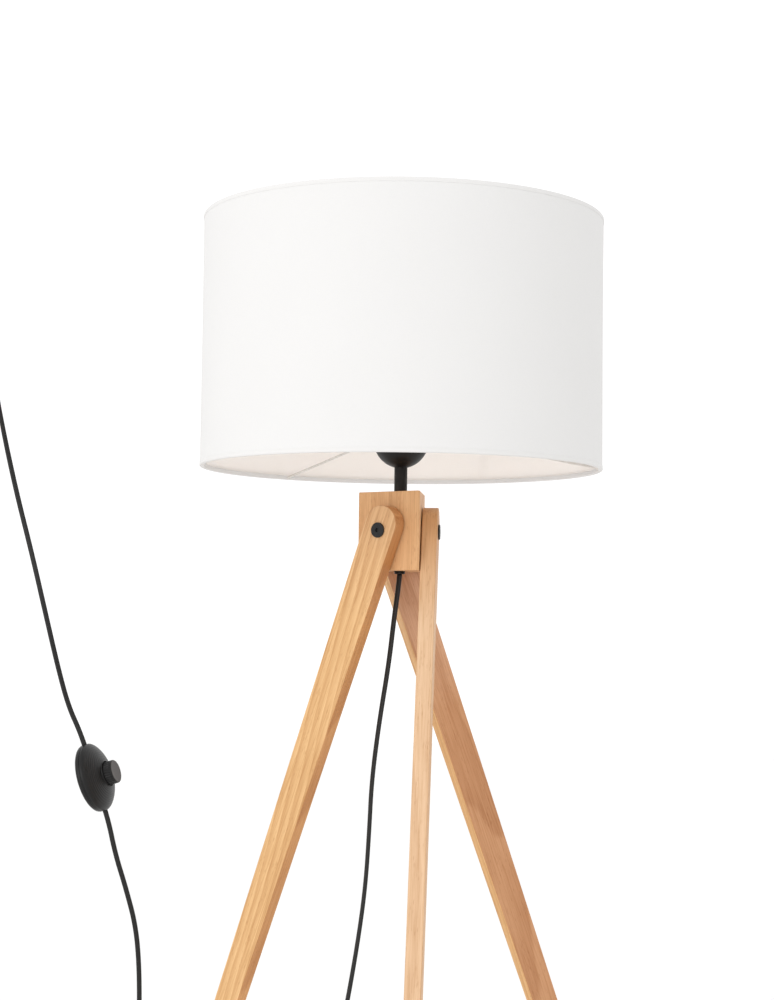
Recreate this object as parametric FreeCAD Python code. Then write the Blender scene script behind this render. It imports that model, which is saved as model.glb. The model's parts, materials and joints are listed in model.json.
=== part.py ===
import FreeCAD, Part
import math
import os

# Tripod floor lamp: three tapered beech legs hinged on a triangular head block, a short stem
# with a cup and an E27 lamp holder, a drum shade, and a mains lead with a round foot switch.
# Millimetres, +Z up. The origin is on the lamp's axis at floor level. The front leg points
# towards -Y; the left and right legs point back towards -X and +X.

Vector = FreeCAD.Vector
Z_AXIS = Vector(0, 0, 1)

# ---------------------------------------------------------------- driving dimensions
TOTAL_HEIGHT = 1400.0

SHADE_RADIUS = 200.0
SHADE_HEIGHT = 250.0
COVER_WALL = 0.8
TRIM_WALL = 0.4
TRIM_HEIGHT = 4.2
RING_WIRE_RADIUS = 1.5
ARM_RADIUS = 1.25
ARM_AZIMUTHS = (-1.0, 133.0, 246.0)
HUB_RISE = 36.0

BLOCK_APOTHEM = 21.8
BLOCK_HEIGHT = 78.0
BLOCK_CORNER_CUT = 2.2
BLOCK_EDGE_ROUND = 0.8
BLOCK_TO_SHADE = 23.0
RECESS_RADIUS = 8.6
RECESS_DEPTH = 6.0

FACE_AZIMUTHS = {"front": 0.0, "right": 120.0, "left": 240.0}
SPLAY = 21.0
LEG_THICKNESS = 15.4
LEG_WIDTH_TOP = 36.4
LEG_WIDTH_FOOT = 15.0
LEG_ROUND_RISE = 6.5
LEG_EDGE_ROUND = 1.0
PAD_HEIGHT = 3.0
PAD_RADIUS = 6.5

WASHER_RADIUS = 10.0
WASHER_THICKNESS = 0.8
SIDE_PLAY = 0.05
BOLT_RADIUS = 3.0
BOLT_HEAD_RADIUS = 7.5
BOLT_HEAD_HEIGHT = 1.8
BOLT_HEAD_ROUND = 0.6
BOLT_LENGTH = 28.0
HEX_KEY_WIDTH = 4.0
HEX_KEY_DEPTH = 1.5
INSERT_RADIUS = 4.5
INSERT_LENGTH = 13.0

STEM_RADIUS = 6.5
THREAD_TUBE_RADIUS = 5.0
THREAD_TUBE_BORE = 4.0
NUT_WIDTH = 14.0
NUT_HEIGHT = 3.0
GLAND_RADIUS = 5.35
GLAND_DROP = 3.0
FIT_GAP = 0.1

CUP_RADIUS = 27.4
CUP_WALL = 1.2
CUP_FLOOR = 2.2
CUP_FLAT_RADIUS = 6.8
CUP_RISE = 2.2
CUP_COLLAR = 3.6
SOCKET_RADIUS = 13.3
SHELL_WALL = 0.5
SHELL_FLOOR = 26.3
SHELL_RELIEF = 1.1
SHELL_TOP = 53.0
HOLDER_RADIUS = 19.0
HOLDER_JOINT = 24.0
HOLDER_TOP = 57.0
INSERT_LOW = 16.0
INSERT_TOP = 26.0
TERMINAL_SIDE = 10.0
CORE_SIDE = 6.0
CORE_RADIUS = 1.0

CORD_RADIUS = 2.6

SWITCH_RADIUS = 35.6
SWITCH_WALL = 2.0
SWITCH_SEAM = 5.3
SEAM_GAP = 0.2
COVER_RIM_HEIGHT = 7.4
COVER_TOP_HEIGHT = 19.7
COLLAR_HEIGHT = 20.6
COLLAR_FOOT = 15.0
POST_CIRCLE = 27.0
POST_RADIUS = 3.0
BUTTON_RADIUS = 12.2
BUTTON_FACE_HEIGHT = 30.1
BUTTON_WALL = 3.0
BUTTON_STROKE = 3.5
MECHANISM_TOP = 9.5
SWITCH_CORD_HEIGHT = 5.2
CLAMP_FACE = 30.0
CLAMP_LENGTH = 6.0
CORD_CLEAR = 48.0

# ---------------------------------------------------------------- derived levels
SHADE_BOTTOM = TOTAL_HEIGHT - SHADE_HEIGHT
BLOCK_TOP = SHADE_BOTTOM - BLOCK_TO_SHADE
BLOCK_BOTTOM = BLOCK_TOP - BLOCK_HEIGHT
PIVOT_HEIGHT = BLOCK_TOP - BLOCK_HEIGHT / 2
GLAND_BOTTOM = BLOCK_BOTTOM - GLAND_DROP
LEG_INNER_FACE = BLOCK_APOTHEM + WASHER_THICKNESS + SIDE_PLAY
LEG_OUTER_FACE = LEG_INNER_FACE + LEG_THICKNESS
BOLT_HEAD_FACE = LEG_OUTER_FACE + SIDE_PLAY
HUB_HEIGHT = SHADE_BOTTOM + HUB_RISE

# ---------------------------------------------------------------- where the foot switch hangs
SWITCH_CENTRE = Vector(-325, 72, 832.5)
SWITCH_DOWN = Vector(0.313, 0.066, -0.948)
SWITCH_FACING = Vector(0.941, -0.16, 0.299)


def switch_directions():
    """Unit vectors of the switch: along the cord, across it, and out through the button."""
    facing = Vector(SWITCH_FACING).normalize()
    down = SWITCH_DOWN - facing * SWITCH_DOWN.dot(facing)
    down.normalize()
    return down, facing.cross(down), facing


def switch_point(along, out):
    """A point of the switch: along its cord direction and out from the underside."""
    down, across, facing = switch_directions()
    return SWITCH_CENTRE + down * along + facing * out


# The free cord hangs from the gland in a loop behind the left leg, carries the foot switch on
# its way up again, and ends in the plug. Points are corners of the route, chosen by hand.
LEAD_ROUTE = [
    Vector(0, 0, GLAND_BOTTOM),
    Vector(-1, 0, 1033),
    Vector(-5, 1, 1003),
    Vector(-10, 4, 957),
    Vector(-19, 7, 900),
    Vector(-26, 9, 842),
    Vector(-28, 10, 790),
    Vector(-31, 11, 738),
    Vector(-37, 13, 690),
    Vector(-46, 17, 635),
    Vector(-57, 23, 578),
    Vector(-71, 32, 512),
    Vector(-89, 44, 448),
    Vector(-109, 56, 386),
    Vector(-133, 70, 326),
    Vector(-164, 87, 274),
    Vector(-205, 109, 248),
    Vector(-243, 130, 270),
    Vector(-265, 141, 320),
    Vector(-277, 147, 381),
    Vector(-282, 149, 446),
    Vector(-284, 146, 511),
    Vector(-282, 137, 576),
    Vector(-280, 122, 632),
    Vector(-281, 106, 677),
    Vector(-289, 91, 718),
    Vector(-299, 81, 755),
    switch_point(CORD_CLEAR, SWITCH_CORD_HEIGHT),
    switch_point(CLAMP_FACE, SWITCH_CORD_HEIGHT),
]
PLUG_ROUTE = [
    switch_point(-CLAMP_FACE, SWITCH_CORD_HEIGHT),
    switch_point(-CORD_CLEAR, SWITCH_CORD_HEIGHT),
    Vector(-349, 69, 907),
    Vector(-361, 68, 948),
    Vector(-375, 67, 1003),
    Vector(-391, 66, 1066),
    Vector(-408, 64, 1128),
    Vector(-423, 63, 1190),
    Vector(-435, 61, 1250),
    Vector(-449, 60, 1294),
    Vector(-469, 59, 1323),
]


# ---------------------------------------------------------------- shape helpers
def cylinder(radius, low, high, x=0.0, y=0.0):
    """An upright cylinder between two heights."""
    return Part.makeCylinder(radius, high - low, Vector(x, y, low), Z_AXIS)


def rod(radius, start, end):
    """A straight round bar between two points."""
    run = end - start
    return Part.makeCylinder(radius, run.Length, start, run)


def pipe(outer, inner, low, high):
    """An upright pipe between two heights."""
    return cylinder(outer, low, high).cut(cylinder(inner, low - 1, high + 1))


def slab(x_low, x_high, y_low, y_high, z_low, z_high):
    """A box between two corners."""
    corner = Vector(x_low, y_low, z_low)
    return Part.makeBox(x_high - x_low, y_high - y_low, z_high - z_low, corner)


def hexagon(across_flats, low, high):
    """An upright hexagonal prism."""
    corner = across_flats / math.sqrt(3)
    angles = [math.radians(60 * k) for k in range(7)]
    outline = [Vector(corner * math.cos(a), corner * math.sin(a), low) for a in angles]
    face = Part.Face(Part.makePolygon(outline))
    return face.extrude(Vector(0, 0, high - low))


def turned(steps):
    """A solid turned about the Z axis from an outline of (radius, height) points.

    A step of two points is an arc: a point that it passes, then its end.
    """
    here = Vector(steps[0][0], 0, steps[0][1])
    first = here
    edges = []
    for step in steps[1:]:
        if isinstance(step[0], tuple):
            middle = Vector(step[0][0], 0, step[0][1])
            end = Vector(step[1][0], 0, step[1][1])
            edges.append(Part.Arc(here, middle, end).toShape())
        else:
            end = Vector(step[0], 0, step[1])
            edges.append(Part.LineSegment(here, end).toShape())
        here = end
    edges.append(Part.LineSegment(here, first).toShape())
    return Part.Face(Part.Wire(edges)).revolve(Vector(0, 0, 0), Z_AXIS, 360)


def raised(shape, height):
    """The shape moved up."""
    moved = shape.copy()
    moved.translate(Vector(0, 0, height))
    return moved


def at_face(shape, azimuth):
    """Move a shape from the block's own side frame to one side face.

    In that frame X runs along the face towards the foot, Y out of the face, and Z up,
    with the origin on the lamp's axis at the height of the leg bolts.
    """
    turn = FreeCAD.Rotation(Z_AXIS, azimuth - 90)
    move = FreeCAD.Placement(Vector(0, 0, PIVOT_HEIGHT), turn)
    placed = shape.copy()
    placed.Placement = move.multiply(shape.Placement)
    return placed


def at_frame(shape, origin, x_dir, y_dir, z_dir):
    """Move a shape into a frame given by its origin and three unit vectors."""
    matrix = FreeCAD.Matrix(
        x_dir.x, y_dir.x, z_dir.x, origin.x,
        x_dir.y, y_dir.y, z_dir.y, origin.y,
        x_dir.z, y_dir.z, z_dir.z, origin.z,
        0, 0, 0, 1,
    )
    placed = shape.copy()
    placed.Placement = FreeCAD.Placement(matrix).multiply(shape.Placement)
    return placed


def at_switch(shape):
    """Move a shape from the switch's own frame, X along the cord and Z out of the button."""
    down, across, facing = switch_directions()
    return at_frame(shape, SWITCH_CENTRE, down, across, facing)


# ---------------------------------------------------------------- head block and legs
def head_block():
    """Triangular beech block with cut corners, a stem bore and three insert holes."""
    corner = 2 * BLOCK_APOTHEM
    prism = Part.makePolygon([
        Vector(corner * math.cos(math.radians(a)), corner * math.sin(math.radians(a)), BLOCK_BOTTOM)
        for a in (60, 180, 300, 60)
    ])
    block = Part.Face(prism).extrude(Vector(0, 0, BLOCK_HEIGHT))
    keep = slab(-100, corner - BLOCK_CORNER_CUT, -100, 100, BLOCK_BOTTOM - 1, BLOCK_TOP + 1)
    for azimuth in (60, 180, 300):
        turned_keep = keep.copy()
        turned_keep.rotate(Vector(0, 0, 0), Z_AXIS, azimuth)
        block = block.common(turned_keep)
    block = block.makeFillet(BLOCK_EDGE_ROUND, block.Edges)
    block = block.cut(cylinder(THREAD_TUBE_RADIUS + FIT_GAP, BLOCK_BOTTOM - 1, BLOCK_TOP + 1))
    block = block.cut(cylinder(RECESS_RADIUS, BLOCK_BOTTOM - 1, BLOCK_BOTTOM + RECESS_DEPTH))
    for azimuth in FACE_AZIMUTHS.values():
        hole = Part.makeCylinder(
            INSERT_RADIUS, INSERT_LENGTH + 1, Vector(0, BLOCK_APOTHEM + 1, 0), Vector(0, -1, 0)
        )
        block = block.cut(at_face(hole, azimuth))
    return block


def leg_inserts():
    """Three brass threaded inserts in the block's side faces."""
    outer = BLOCK_APOTHEM - 0.2
    body = Part.makeCylinder(
        INSERT_RADIUS, INSERT_LENGTH - 0.3, Vector(0, outer, 0), Vector(0, -1, 0)
    )
    thread = Part.makeCylinder(BOLT_RADIUS, 40, Vector(0, outer + 5, 0), Vector(0, -1, 0))
    insert = body.cut(thread)
    return Part.makeCompound([at_face(insert, a) for a in FACE_AZIMUTHS.values()])


def leg_washers():
    """Three thin washers that keep the legs off the block."""
    start = Vector(0, BLOCK_APOTHEM, 0)
    disc = Part.makeCylinder(WASHER_RADIUS, WASHER_THICKNESS, start, Vector(0, 1, 0))
    hole = Part.makeCylinder(BOLT_RADIUS + FIT_GAP, 5, start - Vector(0, 1, 0), Vector(0, 1, 0))
    washer = disc.cut(hole)
    return Part.makeCompound([at_face(washer, a) for a in FACE_AZIMUTHS.values()])


def leg_bolts():
    """Three black flat-head bolts with hexagon sockets; the legs turn on their shanks."""
    head = cylinder(BOLT_HEAD_RADIUS, 0, BOLT_HEAD_HEIGHT)
    rim = [e for e in head.Edges if e.BoundBox.ZMin > BOLT_HEAD_HEIGHT - 0.1]
    head = head.makeFillet(BOLT_HEAD_ROUND, rim[:1])
    bolt = head.fuse(cylinder(BOLT_RADIUS, -BOLT_LENGTH, 0.2)).removeSplitter()
    socket = hexagon(HEX_KEY_WIDTH, BOLT_HEAD_HEIGHT - HEX_KEY_DEPTH, BOLT_HEAD_HEIGHT + 1)
    bolt = bolt.cut(socket)
    bolt.rotate(Vector(0, 0, 0), Vector(1, 0, 0), -90)
    bolt.translate(Vector(0, BOLT_HEAD_FACE, 0))
    return Part.makeCompound([at_face(bolt, a) for a in FACE_AZIMUTHS.values()])


def leg(azimuth):
    """One tapered leg with a round top, hinged on its bolt and cut level above its pad."""
    reach = PIVOT_HEIGHT / math.cos(math.radians(SPLAY))
    top = LEG_WIDTH_TOP / 2
    foot = LEG_WIDTH_FOOT / 2
    spare = 10.0
    left_top = Vector(-top, LEG_INNER_FACE, LEG_ROUND_RISE)
    right_top = Vector(top, LEG_INNER_FACE, LEG_ROUND_RISE)
    apex = Vector(0, LEG_INNER_FACE, LEG_ROUND_RISE + top)
    right_foot = Vector(foot, LEG_INNER_FACE, -reach - spare)
    left_foot = Vector(-foot, LEG_INNER_FACE, -reach - spare)
    outline = Part.Wire([
        Part.Arc(left_top, apex, right_top).toShape(),
        Part.LineSegment(right_top, right_foot).toShape(),
        Part.LineSegment(right_foot, left_foot).toShape(),
        Part.LineSegment(left_foot, left_top).toShape(),
    ])
    board = Part.Face(outline).extrude(Vector(0, LEG_THICKNESS, 0))
    sides = [e for e in board.Edges if e.BoundBox.YMax - e.BoundBox.YMin < 0.01]
    sides = [e for e in sides if e.BoundBox.ZMax > -reach]
    board = board.makeFillet(LEG_EDGE_ROUND, sides)
    bore = Part.makeCylinder(BOLT_RADIUS + 0.05, 60, Vector(0, 0, 0), Vector(0, 1, 0))
    board = board.cut(bore)
    board.rotate(Vector(0, 0, 0), Vector(0, 1, 0), -SPLAY)
    below = slab(-1000, 1000, -100, 100, -PIVOT_HEIGHT - 100, PAD_HEIGHT - PIVOT_HEIGHT)
    return at_face(board.cut(below), azimuth)


def foot_pad(azimuth):
    """The round rubber glide under one leg."""
    out = (PIVOT_HEIGHT - PAD_HEIGHT) * math.tan(math.radians(SPLAY))
    pad = cylinder(PAD_RADIUS, 0, PAD_HEIGHT)
    rim = [e for e in pad.Edges if e.BoundBox.ZMax < 0.1]
    pad = pad.makeFillet(0.6, rim[:1])
    pad.translate(Vector(out, LEG_INNER_FACE + LEG_THICKNESS / 2, -PIVOT_HEIGHT))
    return at_face(pad, azimuth)


# ---------------------------------------------------------------- stem, cup and lamp holder
def threaded_tube():
    """M10 tube that clamps the gland, block, stem, cup and lamp holder together."""
    return pipe(THREAD_TUBE_RADIUS, THREAD_TUBE_BORE, BLOCK_BOTTOM + 2, SHADE_BOTTOM + 10)


def tube_nut(low):
    """A hexagon nut on the threaded tube."""
    bore = cylinder(THREAD_TUBE_RADIUS, low - 1, low + NUT_HEIGHT + 1)
    return hexagon(NUT_WIDTH, low, low + NUT_HEIGHT).cut(bore)


def bottom_nut():
    """Nut in the recess under the block."""
    return tube_nut(BLOCK_BOTTOM + RECESS_DEPTH - NUT_HEIGHT - FIT_GAP)


def cord_gland():
    """Plastic bushing on the tube's lower end that the cord comes out of."""
    body = cylinder(GLAND_RADIUS, GLAND_BOTTOM, BLOCK_BOTTOM + 1.9)
    rim = [e for e in body.Edges if e.BoundBox.ZMax < GLAND_BOTTOM + 0.1]
    body = body.makeFillet(0.8, rim[:1])
    body = body.fuse(cylinder(THREAD_TUBE_BORE - FIT_GAP, BLOCK_BOTTOM + 1, BLOCK_BOTTOM + 9))
    return body.cut(cylinder(CORD_RADIUS, GLAND_BOTTOM - 1, BLOCK_BOTTOM + 10))


def stem():
    """Black sleeve between the block and the cup."""
    return pipe(STEM_RADIUS, THREAD_TUBE_RADIUS + FIT_GAP, BLOCK_TOP, SHADE_BOTTOM + CUP_RISE)


def cup():
    """Black hemispherical cup round the foot of the lamp holder."""
    inner = CUP_RADIUS - CUP_WALL
    drop = math.sqrt(CUP_RADIUS ** 2 - CUP_FLAT_RADIUS ** 2)
    inner_flat = math.sqrt(inner ** 2 - (drop - CUP_FLOOR) ** 2)
    slant = math.sqrt(0.5)
    bowl = turned([
        (THREAD_TUBE_RADIUS + FIT_GAP, -drop),
        (CUP_FLAT_RADIUS, -drop),
        ((CUP_RADIUS * slant, -CUP_RADIUS * slant), (CUP_RADIUS, 0)),
        (CUP_RADIUS, CUP_COLLAR),
        (inner, CUP_COLLAR),
        (inner, 0),
        ((inner * slant, -inner * slant), (inner_flat, CUP_FLOOR - drop)),
        (THREAD_TUBE_RADIUS + FIT_GAP, CUP_FLOOR - drop),
    ])
    return raised(bowl, SHADE_BOTTOM + CUP_RISE + drop)


def cup_nut():
    """Nut that clamps the cup on the stem."""
    return tube_nut(SHADE_BOTTOM + CUP_RISE + CUP_FLOOR)


def holder_cap():
    """Lower cap of the lamp holder, screwed on the tube."""
    cap = turned([
        (THREAD_TUBE_RADIUS + 0.05, 7.6), (14.0, 7.6), (HOLDER_RADIUS, 13.6),
        (HOLDER_RADIUS, HOLDER_JOINT), (HOLDER_RADIUS - 2, HOLDER_JOINT),
        (HOLDER_RADIUS - 2, 14.4), (13.0, 9.6), (THREAD_TUBE_RADIUS + 0.05, 9.6),
    ])
    return raised(cap, SHADE_BOTTOM)


def holder_insert():
    """Porcelain terminal block inside the lamp holder."""
    low = INSERT_LOW - 1
    high = INSERT_TOP + 1
    block = cylinder(16.8, INSERT_LOW, INSERT_TOP).cut(cylinder(2.2, low, high))
    for side in (-1, 1):
        block = block.cut(cylinder(1.85, low, high, side * TERMINAL_SIDE, 0.0))
        block = block.cut(cylinder(CORE_RADIUS + 0.2, low, high, 0.0, side * CORE_SIDE))
    return raised(block, SHADE_BOTTOM)


def terminal_screws():
    """Two brass screws that clamp the conductors."""
    screws = []
    for side in (-1, 1):
        x = side * TERMINAL_SIDE
        screw = cylinder(1.75, 15.0, 25.0, x, 0.0)
        head = cylinder(3.0, 13.2, 15.0, x, 0.0)
        slot = slab(x - 4, x + 4, -0.4, 0.4, 13.0, 13.9)
        screws.append(raised(screw.fuse(head).cut(slot), SHADE_BOTTOM))
    return Part.makeCompound(screws)


def holder_body():
    """Upper shell of the lamp holder, threaded outside for the shade ring."""
    low = HOLDER_JOINT + FIT_GAP
    body = turned([
        (16.2, low), (HOLDER_RADIUS, low), (HOLDER_RADIUS, 33.6), (22.5, 33.6),
        (22.5, 35.2), (19.5, 35.2), (19.5, HOLDER_TOP), (14.4, HOLDER_TOP),
        (14.4, HOLDER_TOP - 2.5), (16.2, HOLDER_TOP - 2.5),
    ])
    return raised(body.cut(cylinder(16.9, low - 0.1, INSERT_TOP + 0.2)), SHADE_BOTTOM)


def screw_shell():
    """Plated screw shell that takes the lamp's E27 cap, wider at its floor than in its bore."""
    outer = SOCKET_RADIUS + SHELL_WALL
    relief = SHELL_FLOOR + SHELL_RELIEF
    shell = turned([
        (8.0, SHELL_FLOOR), (outer + 0.6, SHELL_FLOOR), (outer + 0.6, relief + SHELL_WALL),
        (outer, relief + SHELL_WALL), (outer, SHELL_TOP), (SOCKET_RADIUS, SHELL_TOP),
        (SOCKET_RADIUS, relief), (outer + 0.1, relief), (outer + 0.1, SHELL_FLOOR + SHELL_WALL),
        (8.0, SHELL_FLOOR + SHELL_WALL),
    ])
    return raised(shell, SHADE_BOTTOM)


def centre_contact():
    """Sprung centre contact, lying in the hole in the screw shell's floor."""
    leaf = slab(-5.0, 5.0, -2.0, 2.0, SHELL_FLOOR - 0.1, SHELL_FLOOR + 0.4)
    post = cylinder(1.5, 18.0, SHELL_FLOOR + 0.1)
    return raised(leaf.fuse(post), SHADE_BOTTOM)


def shade_ring():
    """Threaded ring with grip notches that clamps the shade's hub on the lamp holder."""
    low = HUB_RISE + 0.9
    ring = pipe(25.5, 19.6, low, low + 8)
    for k in range(12):
        angle = math.radians(30 * k)
        notch = cylinder(1.6, low + 2, low + 9, 26.0 * math.cos(angle), 26.0 * math.sin(angle))
        ring = ring.cut(notch)
    return raised(ring, SHADE_BOTTOM)


def stem_cable():
    """The lead's sheathed end inside the threaded tube."""
    return cylinder(CORD_RADIUS - 0.05, GLAND_BOTTOM + 0.3, SHADE_BOTTOM + 8)


def core_wires():
    """Two insulated cores from the sheath to the lamp holder's terminals."""
    wires = []
    for side in (-1, 1):
        route = [(1.3, 8.05), (1.3, 11.5), (CORE_SIDE, 14.5), (CORE_SIDE, 22.0)]
        places = [Vector(0, side * out, SHADE_BOTTOM + rise) for out, rise in route]
        pieces = [rod(CORE_RADIUS, start, end) for start, end in zip(places, places[1:])]
        pieces += [Part.makeSphere(CORE_RADIUS, place) for place in places[1:-1]]
        wires.append(pieces[0].fuse(pieces[1:]).removeSplitter())
    return Part.makeCompound(wires)


# ---------------------------------------------------------------- shade
def shade_cover():
    """Drum of fabric laminated on a thin stiff sheet, open at both ends."""
    outer = SHADE_RADIUS - TRIM_WALL
    low = SHADE_BOTTOM + TRIM_WALL + 0.05
    high = TOTAL_HEIGHT - TRIM_WALL - 0.05
    return pipe(outer, outer - COVER_WALL, low, high)


def ring_radius():
    """Centre-line radius of the two rim wires, just inside the cover."""
    return SHADE_RADIUS - TRIM_WALL - COVER_WALL - RING_WIRE_RADIUS - FIT_GAP


def shade_top_ring():
    """Wire ring that keeps the upper rim round."""
    height = TOTAL_HEIGHT - TRIM_WALL - RING_WIRE_RADIUS - FIT_GAP
    return Part.makeTorus(ring_radius(), RING_WIRE_RADIUS, Vector(0, 0, height))


def arm_line(azimuth):
    """Ends of one carrier arm: on the lower rim wire, and on the hub."""
    out = Vector(math.cos(math.radians(azimuth)), math.sin(math.radians(azimuth)), 0)
    wire_height = SHADE_BOTTOM + TRIM_WALL + RING_WIRE_RADIUS + FIT_GAP
    return out * ring_radius() + Z_AXIS * wire_height, out * 26.0 + Z_AXIS * (HUB_HEIGHT - 0.5)


def shade_carrier():
    """Lower rim wire, three rising arms and the hub ring, welded into one piece."""
    height = SHADE_BOTTOM + TRIM_WALL + RING_WIRE_RADIUS + FIT_GAP
    carrier = Part.makeTorus(ring_radius(), RING_WIRE_RADIUS, Vector(0, 0, height))
    for azimuth in ARM_AZIMUTHS:
        start, end = arm_line(azimuth)
        carrier = carrier.fuse(rod(ARM_RADIUS, start, end))
    return carrier.fuse(pipe(27.5, 20.2, HUB_HEIGHT - 0.8, HUB_HEIGHT + 0.8))


def edge_band():
    """Folded fabric edge band round a rim wire, standing on its closed edge."""
    outer = SHADE_RADIUS
    inner = ring_radius() - RING_WIRE_RADIUS - FIT_GAP - TRIM_WALL
    return turned([
        (outer, 0.0), (outer, TRIM_HEIGHT), (outer - TRIM_WALL, TRIM_HEIGHT),
        (outer - TRIM_WALL, TRIM_WALL), (inner + TRIM_WALL, TRIM_WALL),
        (inner + TRIM_WALL, TRIM_HEIGHT), (inner, TRIM_HEIGHT), (inner, 0.0),
    ])


def shade_bottom_trim():
    """Lower edge band, slit where the arms pass."""
    band = raised(edge_band(), SHADE_BOTTOM)
    for azimuth in ARM_AZIMUTHS:
        start, end = arm_line(azimuth)
        band = band.cut(rod(ARM_RADIUS + 0.3, start, end))
    return band


def shade_top_trim():
    """Upper edge band, the lower one turned over."""
    band = edge_band().mirror(Vector(0, 0, 0), Z_AXIS)
    return raised(band, TOTAL_HEIGHT)


# ---------------------------------------------------------------- cord
def rounded_route(points, name):
    """A route's wire: straight runs joined by tangent arcs as large as the runs allow."""
    edges = []
    here = points[0]
    radii = []
    for before, corner, after in zip(points, points[1:], points[2:]):
        inward = (before - corner).normalize()
        outward = (after - corner).normalize()
        half_turn = (math.pi - inward.getAngle(outward)) / 2
        cut_back = 0.45 * min((before - corner).Length, (after - corner).Length)
        radius = cut_back / math.tan(half_turn)
        radii.append(radius)
        arc_start = corner + inward * cut_back
        arc_end = corner + outward * cut_back
        middle = (inward + outward).normalize()
        centre = corner + middle * (radius / math.cos(half_turn))
        arc_middle = centre - middle * radius
        edges.append(Part.LineSegment(here, arc_start).toShape())
        edges.append(Part.Arc(arc_start, arc_middle, arc_end).toShape())
        here = arc_end
    edges.append(Part.LineSegment(here, points[-1]).toShape())
    wire = Part.Wire(edges)
    print(name, "radii mm:", " ".join("%.0f" % r for r in radii))
    print(name, "length mm: %.1f" % wire.Length)
    return wire


def cord(points, name):
    """A round cord along a route, with its volume compared with section times length."""
    wire = rounded_route(points, name)
    start = points[0]
    section = Part.makeCircle(CORD_RADIUS, start, points[1] - start)
    tube = wire.makePipeShell([Part.Wire([section])], True, False)
    wanted = math.pi * CORD_RADIUS ** 2 * wire.Length
    print(name, "volume against section times length: %.4f" % (tube.Volume / wanted))
    return tube


# ---------------------------------------------------------------- foot switch, in its own frame
SCREW_PLACES = [
    (POST_CIRCLE * math.cos(math.radians(a)), POST_CIRCLE * math.sin(math.radians(a)))
    for a in (90, 210, 330)
]


def cord_notches():
    """Two round passages through the rim for the cord."""
    reach = SWITCH_RADIUS + 3
    start = Vector(-reach, 0, SWITCH_CORD_HEIGHT)
    through = Part.makeCylinder(CORD_RADIUS + 0.2, 2 * reach, start, Vector(1, 0, 0))
    return through.cut(cylinder(CLAMP_FACE - 4, 0, 20))


def switch_base():
    """Lower shell with screw posts."""
    outer = SWITCH_RADIUS
    rim = SWITCH_SEAM - SEAM_GAP / 2
    base = turned([
        (0.0, 0.0), (outer - 3, 0.0), ((outer - 0.9, 0.9), (outer, 3.0)), (outer, rim),
        (outer - SWITCH_WALL, rim), (outer - SWITCH_WALL, 3.6), (outer - 3.6, SWITCH_WALL),
        (0.0, SWITCH_WALL),
    ])
    for x, y in SCREW_PLACES:
        base = base.fuse(cylinder(POST_RADIUS, 1.5, 9.0, x, y))
        base = base.cut(cylinder(1.3, -1.0, 10.0, x, y))
        base = base.cut(cylinder(2.7, -1.0, 1.3, x, y))
    return at_switch(base.cut(cord_notches()))


def switch_cover():
    """Domed upper shell with the collar that guides the button."""
    outer = SWITCH_RADIUS
    rim = SWITCH_SEAM + SEAM_GAP / 2
    bore = BUTTON_RADIUS + 0.4
    dome = turned([
        (0.0, rim), (outer, rim), (outer, COVER_RIM_HEIGHT), ((34.2, 9.8), (31.0, 12.4)),
        ((23.0, 16.6), (14.0, COVER_TOP_HEIGHT)), (13.6, COLLAR_HEIGHT), (0.0, COLLAR_HEIGHT),
    ])
    inside = turned([
        (0.0, rim - 1), (outer - SWITCH_WALL, rim - 1), (outer - SWITCH_WALL, COVER_RIM_HEIGHT),
        ((26.0, 13.2), (15.6, 17.2)), (15.6, COLLAR_FOOT), (bore, COLLAR_FOOT),
        (bore, COLLAR_HEIGHT + 1), (0.0, COLLAR_HEIGHT + 1),
    ])
    cover = dome.cut(inside)
    for x, y in SCREW_PLACES:
        cover = cover.fuse(cylinder(POST_RADIUS, 9.1, 16.0, x, y).common(dome))
        cover = cover.cut(cylinder(1.15, 9.0, 12.0, x, y))
    return at_switch(cover.cut(cord_notches()))


def switch_button():
    """Push button, hollow from below, kept in by its flange."""
    inner = BUTTON_RADIUS - 2
    flange = MECHANISM_TOP + BUTTON_STROKE + 0.3
    face = BUTTON_FACE_HEIGHT
    button = turned([
        (inner, flange), (14.3, flange), (14.3, flange + 1.4), (BUTTON_RADIUS, flange + 1.4),
        (BUTTON_RADIUS, face - 0.9), (BUTTON_RADIUS - 0.9, face), (0.0, face),
        (0.0, face - BUTTON_WALL), (inner, face - BUTTON_WALL),
    ])
    return at_switch(button)


def button_spring():
    """Envelope of the coil spring under the button."""
    return at_switch(pipe(7.0, 6.0, MECHANISM_TOP + 0.1, BUTTON_FACE_HEIGHT - BUTTON_WALL - 0.1))


def switch_mechanism():
    """Latching contact block under the button."""
    return at_switch(slab(-12.0, 12.0, -9.0, 9.0, SWITCH_WALL + 0.05, MECHANISM_TOP))


def cord_clamps():
    """Two blocks that grip the cord's ends inside the switch."""
    blocks = []
    for side in (-1, 1):
        near, far = sorted((side * (CLAMP_FACE - CLAMP_LENGTH), side * CLAMP_FACE))
        blocks.append(at_switch(slab(near, far, -5.0, 5.0, SWITCH_WALL + 0.05, 9.0)))
    return Part.makeCompound(blocks)


def switch_conductors():
    """Four short cores between the clamps and the contact block."""
    cores = []
    for side in (-1, 1):
        for y in (-3.0, 3.0):
            start = Vector(side * 12.05, y, SWITCH_CORD_HEIGHT)
            end = Vector(side * 23.95, y, SWITCH_CORD_HEIGHT)
            cores.append(at_switch(rod(0.9, start, end)))
    return Part.makeCompound(cores)


def switch_screws():
    """Three screws that hold the two shells together from below."""
    screws = []
    for x, y in SCREW_PLACES:
        screw = cylinder(1.1, 0.3, 11.5, x, y).fuse(cylinder(2.4, 0.2, 1.2, x, y))
        screws.append(at_switch(screw))
    return Part.makeCompound(screws)


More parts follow.
